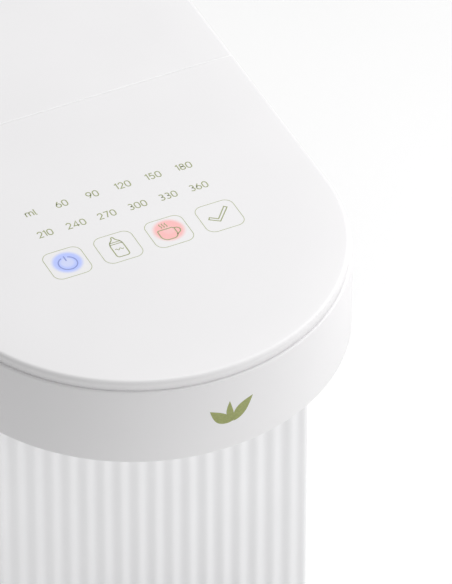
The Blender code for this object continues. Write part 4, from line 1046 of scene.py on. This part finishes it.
def makeSpring():
    # closed-end compression spring: its first and last turns lie flat, with an even pitch between
    low, high = springLow, springHigh
    wire = spring["wire"]
    coil = (high.y - low.y) / 2 - wire
    middleY = (low.y + high.y) / 2
    count = round(spring["turns"] * spring["steps"])
    rings = []
    for i in range(count + 1):
        turn = spring["turns"] * i / count
        share = min(1.0, max(0.0, (turn - spring["flat"]) / (spring["turns"] - 2 * spring["flat"])))
        height = low.z + wire + (high.z - low.z - 2 * wire) * share
        around = 2 * math.pi * turn
        ring = []
        for k in range(spring["sides"]):
            side = 2 * math.pi * k / spring["sides"]
            reach, rise = coil + wire * math.cos(side), wire * math.sin(side)
            ring.append((reach * math.cos(around), middleY + reach * math.sin(around), height + rise))
        rings.append(ring)
    work = bmesh.new()
    loft(work, rings)
    piece = meshPiece("valveSpring", work, stainless, "tank")
    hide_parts("valve_spring")
    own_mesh(piece)


makeSpring()
print("spring made")


# base
baseLook = {
    "lowRound": 0.0006,
    "topRound": 0.0008,
    "well": 0.0154,  # round the dock
    "wellMouth": 0.0164,
    "plateInset": 0.0015,
    "plateRound": 0.0008,
}


def baseOutline(inset):
    return tankOutline(inset, baseLow.y)


def plateOutline(inset):
    return noseTurn(inset) + rearEnd(inset)


def makeBase():
    work = bmesh.new()
    rings = roundOver(baseOutline, 0, baseLow.z, baseLook["lowRound"], outward=False, upward=False, steps=4)
    rings += roundOver(baseOutline, 0, baseHigh.z, baseLook["topRound"], steps=5)
    loft(work, rings)
    piece = meshPiece("baseShell", work, whiteAbs, "machine")
    well = [(baseLook["well"], baseLow.z + 0.0005), (baseLook["well"], baseHigh.z - 0.0008),
            (baseLook["wellMouth"], baseHigh.z + 0.001)]
    middle = ((inletLow.x + inletHigh.x) / 2, (inletLow.z + inletHigh.z) / 2)
    wide, tall = inletHigh.x - inletLow.x + 0.0006, inletHigh.z - inletLow.z + 0.0006
    hole = roundedSquare(middle, wide, tall, 0.0036)
    socket = [[(x, y, z) for x, z in hole] for y in (inletLow.y - 0.001, case["rearY"] + 0.002)]
    cutWith(piece, [cutter(turnedRings(well, dock, 64)), cutter(socket)])
    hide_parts("base_housing")

    foot = bmesh.new()
    inset = baseLook["plateInset"]
    turn = baseLook["plateRound"]
    rings = roundOver(plateOutline, inset, plateLow.z, turn, outward=False, upward=False, steps=4)
    rings += [ringAt(plateOutline(inset), plateHigh.z)]
    loft(foot, rings)
    piece = meshPiece("basePlate", foot, innerPlastic, "machine")
    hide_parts("base_plate")


makeBase()
print("base made")


# drip tray and grille
trayLook = {"wall": 0.0024, "ledge": 0.0030, "round": 0.0009, "footRound": 0.0012, "hollowRound": 0.0030}


def trayOutline(inset):
    return noseOutline(inset, trayHigh.y)


def makeTray():
    work = bmesh.new()
    wall, ledge = trayLook["wall"], trayLook["ledge"]
    seat = grilleLow.z - 0.0003
    foot, hollow = trayLook["footRound"], trayLook["hollowRound"]
    rings = roundOver(trayOutline, 0, trayLow.z, foot, outward=False, upward=False, steps=5)
    rings += roundOver(trayOutline, 0, trayHigh.z, trayLook["round"], steps=5)
    rings += [ringAt(trayOutline(wall), trayHigh.z), ringAt(trayOutline(wall), seat)]
    rings += [ringAt(trayOutline(wall + ledge), seat)]
    rings += roundOver(trayOutline, wall + ledge, trayLow.z + wall, hollow, upward=False, steps=5)
    loft(work, rings)
    piece = meshPiece("trayShell", work, whiteAbs, "tray")
    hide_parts("drip_tray")


grille = {"slot": 0.0042, "pitch": 0.0105, "edge": 0.0105, "round": 0.0005}


def makeGrille():
    curve = bpy.data.curves.new("grillePlate", "CURVE")
    curve.dimensions = "2D"
    curve.fill_mode = "BOTH"
    thick = grilleHigh.z - grilleLow.z
    curve.extrude = thick / 2 - grille["round"]
    curve.bevel_depth = grille["round"]
    curve.bevel_resolution = 2
    curve.offset = -grille["round"]
    edge = trayLook["wall"] + 0.0005
    outlines = [trayOutline(edge)]
    reach = case["radius"] - grille["edge"]
    rear = trayHigh.y - grille["edge"]
    count = int((reach - 0.002) / grille["pitch"])
    half = grille["slot"] / 2
    for k in range(-count, count + 1):
        x = k * grille["pitch"]
        front = case["noseY"] - math.sqrt(max(reach ** 2 - (abs(x) + half) ** 2, 0))
        if rear - front > 3 * grille["slot"]:
            slot = arcPoints((x, rear - half), half, 0, 180, 12)
            outlines.append(slot + arcPoints((x, front + half), half, 180, 360, 12))
    for outline in outlines:
        spline = curve.splines.new("POLY")
        spline.points.add(len(outline) - 1)
        for point, (x, y) in zip(spline.points, outline):
            point.co = (x, y, 0, 1)
        spline.use_cyclic_u = True
    source = linked("grillePlate", curve)
    source.location.z = (grilleHigh.z + grilleLow.z) / 2
    bpy.context.view_layer.update()
    mesh = bpy.data.meshes.new_from_object(source.evaluated_get(bpy.context.evaluated_depsgraph_get()))
    mesh.transform(source.matrix_world)
    bpy.data.objects.remove(source)
    work = bmesh.new()
    work.from_mesh(mesh)
    bmesh.ops.remove_doubles(work, verts=work.verts, dist=1e-6)
    piece = meshPiece("grillePlate", work, whiteAbs, "grille")
    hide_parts("drip_grille")


makeTray()
makeGrille()
print("tray made")


# spout
grip = {"out": 0.0235, "long": 0.0092, "thick": 0.0034, "corner": 0.0014}  # the two ears that turn the cap


def makeSpout():
    top, low = capHigh.z, capLow.z
    work = bmesh.new()
    profile = [(0.0165, top), (0.0226, top), (0.0230, top - 0.0004), (0.0228, top - 0.0030),
               (0.0215, top - 0.0085), (0.0190, top - 0.0130), (0.0124, low + 0.0012), (0.0112, low),
               (0.0051, low), (0.0051, low + 0.0022), (0.0098, low + 0.0022), (0.0165, top - 0.0085)]
    loft(work, turnedRings(profile, spout), closed=True)
    piece = meshPiece("spoutCap", work, whiteAbs, "spout")
    grips = []
    for side in (-1, 1):
        outline = roundedSquare((side * grip["out"], spout.y), grip["long"], grip["thick"], grip["corner"])
        grips.append(cutter([ringAt(outline, top - 0.0078), ringAt(outline, top - 0.0012)]))
    cutWith(piece, grips, "UNION")
    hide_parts("nozzle_cap")
    tip = bmesh.new()
    end = tipLow.z
    profile = [(0.0026, low + 0.003), (0.0046, low + 0.003), (0.0047, low - 0.002),
               (0.0048, end + 0.0030), (0.0046, end + 0.0010), (0.0040, end + 0.0002),
               (0.0034, end), (0.0028, end + 0.0004), (0.0026, end + 0.0015)]
    loft(tip, turnedRings(profile, spout, 64), closed=True)
    piece = meshPiece("spoutTip", tip, milkySilicone, "spout")
    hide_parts("spout_tip")


makeSpout()
print("spout made")


# feet
def makeFeet():
    for name in ("foot_front_left", "foot_front_right", "foot_rear_left", "foot_rear_right"):
        low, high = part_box(name)
        centre = ((low.x + high.x) / 2, (low.y + high.y) / 2)
        wide = (high.x - low.x) / 2
        work = bmesh.new()
        profile = [(wide * 0.55, 0.0004), (wide * 0.62, 0.0), (wide - 0.0008, 0.0),
                   (wide - 0.0002, 0.0003), (wide, 0.0009), (wide - 0.0003, 0.0030)]
        loft(work, turnedRings(profile, centre, 64))
        piece = meshPiece(name.replace("foot", "rubberFoot"), work, footRubber, "machine")
        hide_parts(name)


makeFeet()
print("feet made")


# floor, light and camera
studio = {
    "world": 0.442,
    "floorShine": 0.055,
    "floorHalf": 6,
    "aim": (0, 0, 0.25),
    "top": {"place": (0.70, 0.15, 1.30), "size": 1.2, "power": 11.6},
    "right": {"place": (0.55, -0.80, 0.55), "size": 0.7, "power": 2.36},
}


def makeFloor():
    material, tree, shader = newMaterial("paleFloor")
    place = addNode(tree, "ShaderNodeTexCoord")
    cloud = addNode(tree, "ShaderNodeTexNoise", {"Scale": 3.0, "Detail": 2.0},
                    {"Vector": place.outputs["Object"]})
    tint = addNode(tree, "ShaderNodeValToRGB", {"stops": between(0.3, "#fafafa", 0.7, "#fdfdfd")},
                   {"Fac": cloud.outputs["Fac"]})
    setNode(tree, shader, {"Roughness": 0.9, "Emission Color": (1, 1, 1, 1),
            "Emission Strength": studio["floorShine"]}, {"Base Color": tint.outputs["Color"]})
    work = bmesh.new()
    half = studio["floorHalf"]
    corners = ((-half, -half), (half, -half), (half, half), (-half, half))
    work.faces.new([work.verts.new((x, y, 0)) for x, y in corners])
    floor = linked("floor", meshFrom("floor", work))
    floor.data.materials.append(material)


def makeLights():
    world = bpy.data.worlds.new("softStudio")
    bpy.context.scene.world = world
    world.use_nodes = True
    back = world.node_tree.nodes["Background"]
    back.inputs["Color"].default_value = linearColour("#ffffff")
    back.inputs["Strength"].default_value = studio["world"]
    for name in ("top", "right"):
        facts = studio[name]
        light = bpy.data.lights.new(name + "Softbox", "AREA")
        light.size = facts["size"]
        light.energy = facts["power"]
        lamp = linked(name + "Softbox", light)
        lamp.location = facts["place"]
        aim = Vector(studio["aim"]) - Vector(facts["place"])
        lamp.rotation_euler = aim.to_track_quat("-Z", "Y").to_euler()
        lamp.visible_glossy = name == "top"  # the side boxes only fill, they leave no reflection
    bpy.context.scene.view_settings.view_transform = "Standard"


lens = {
    "millimetres": 493.2,
    "sensor": 36,
    "turn": 25.62,  # degrees round from straight ahead
    "drop": 40.73,  # degrees down
    "place": (-1.00133, -2.21684, 2.33120),
}


def makeCamera():
    data = bpy.data.cameras.new("camera")
    data.sensor_width = lens["sensor"]
    data.lens = lens["millimetres"]
    data.clip_end = 30
    camera = bpy.data.objects.new("camera", data)
    turn, drop = math.radians(lens["turn"]), math.radians(lens["drop"])
    look = Vector((math.sin(turn) * math.cos(drop), math.cos(turn) * math.cos(drop), -math.sin(drop)))
    camera.location = lens["place"]
    camera.rotation_euler = look.to_track_quat("-Z", "Y").to_euler()
    bpy.context.scene.collection.objects.link(camera)
    bpy.context.scene.camera = camera


makeFloor()
makeLights()
makeCamera()
print("studio set")
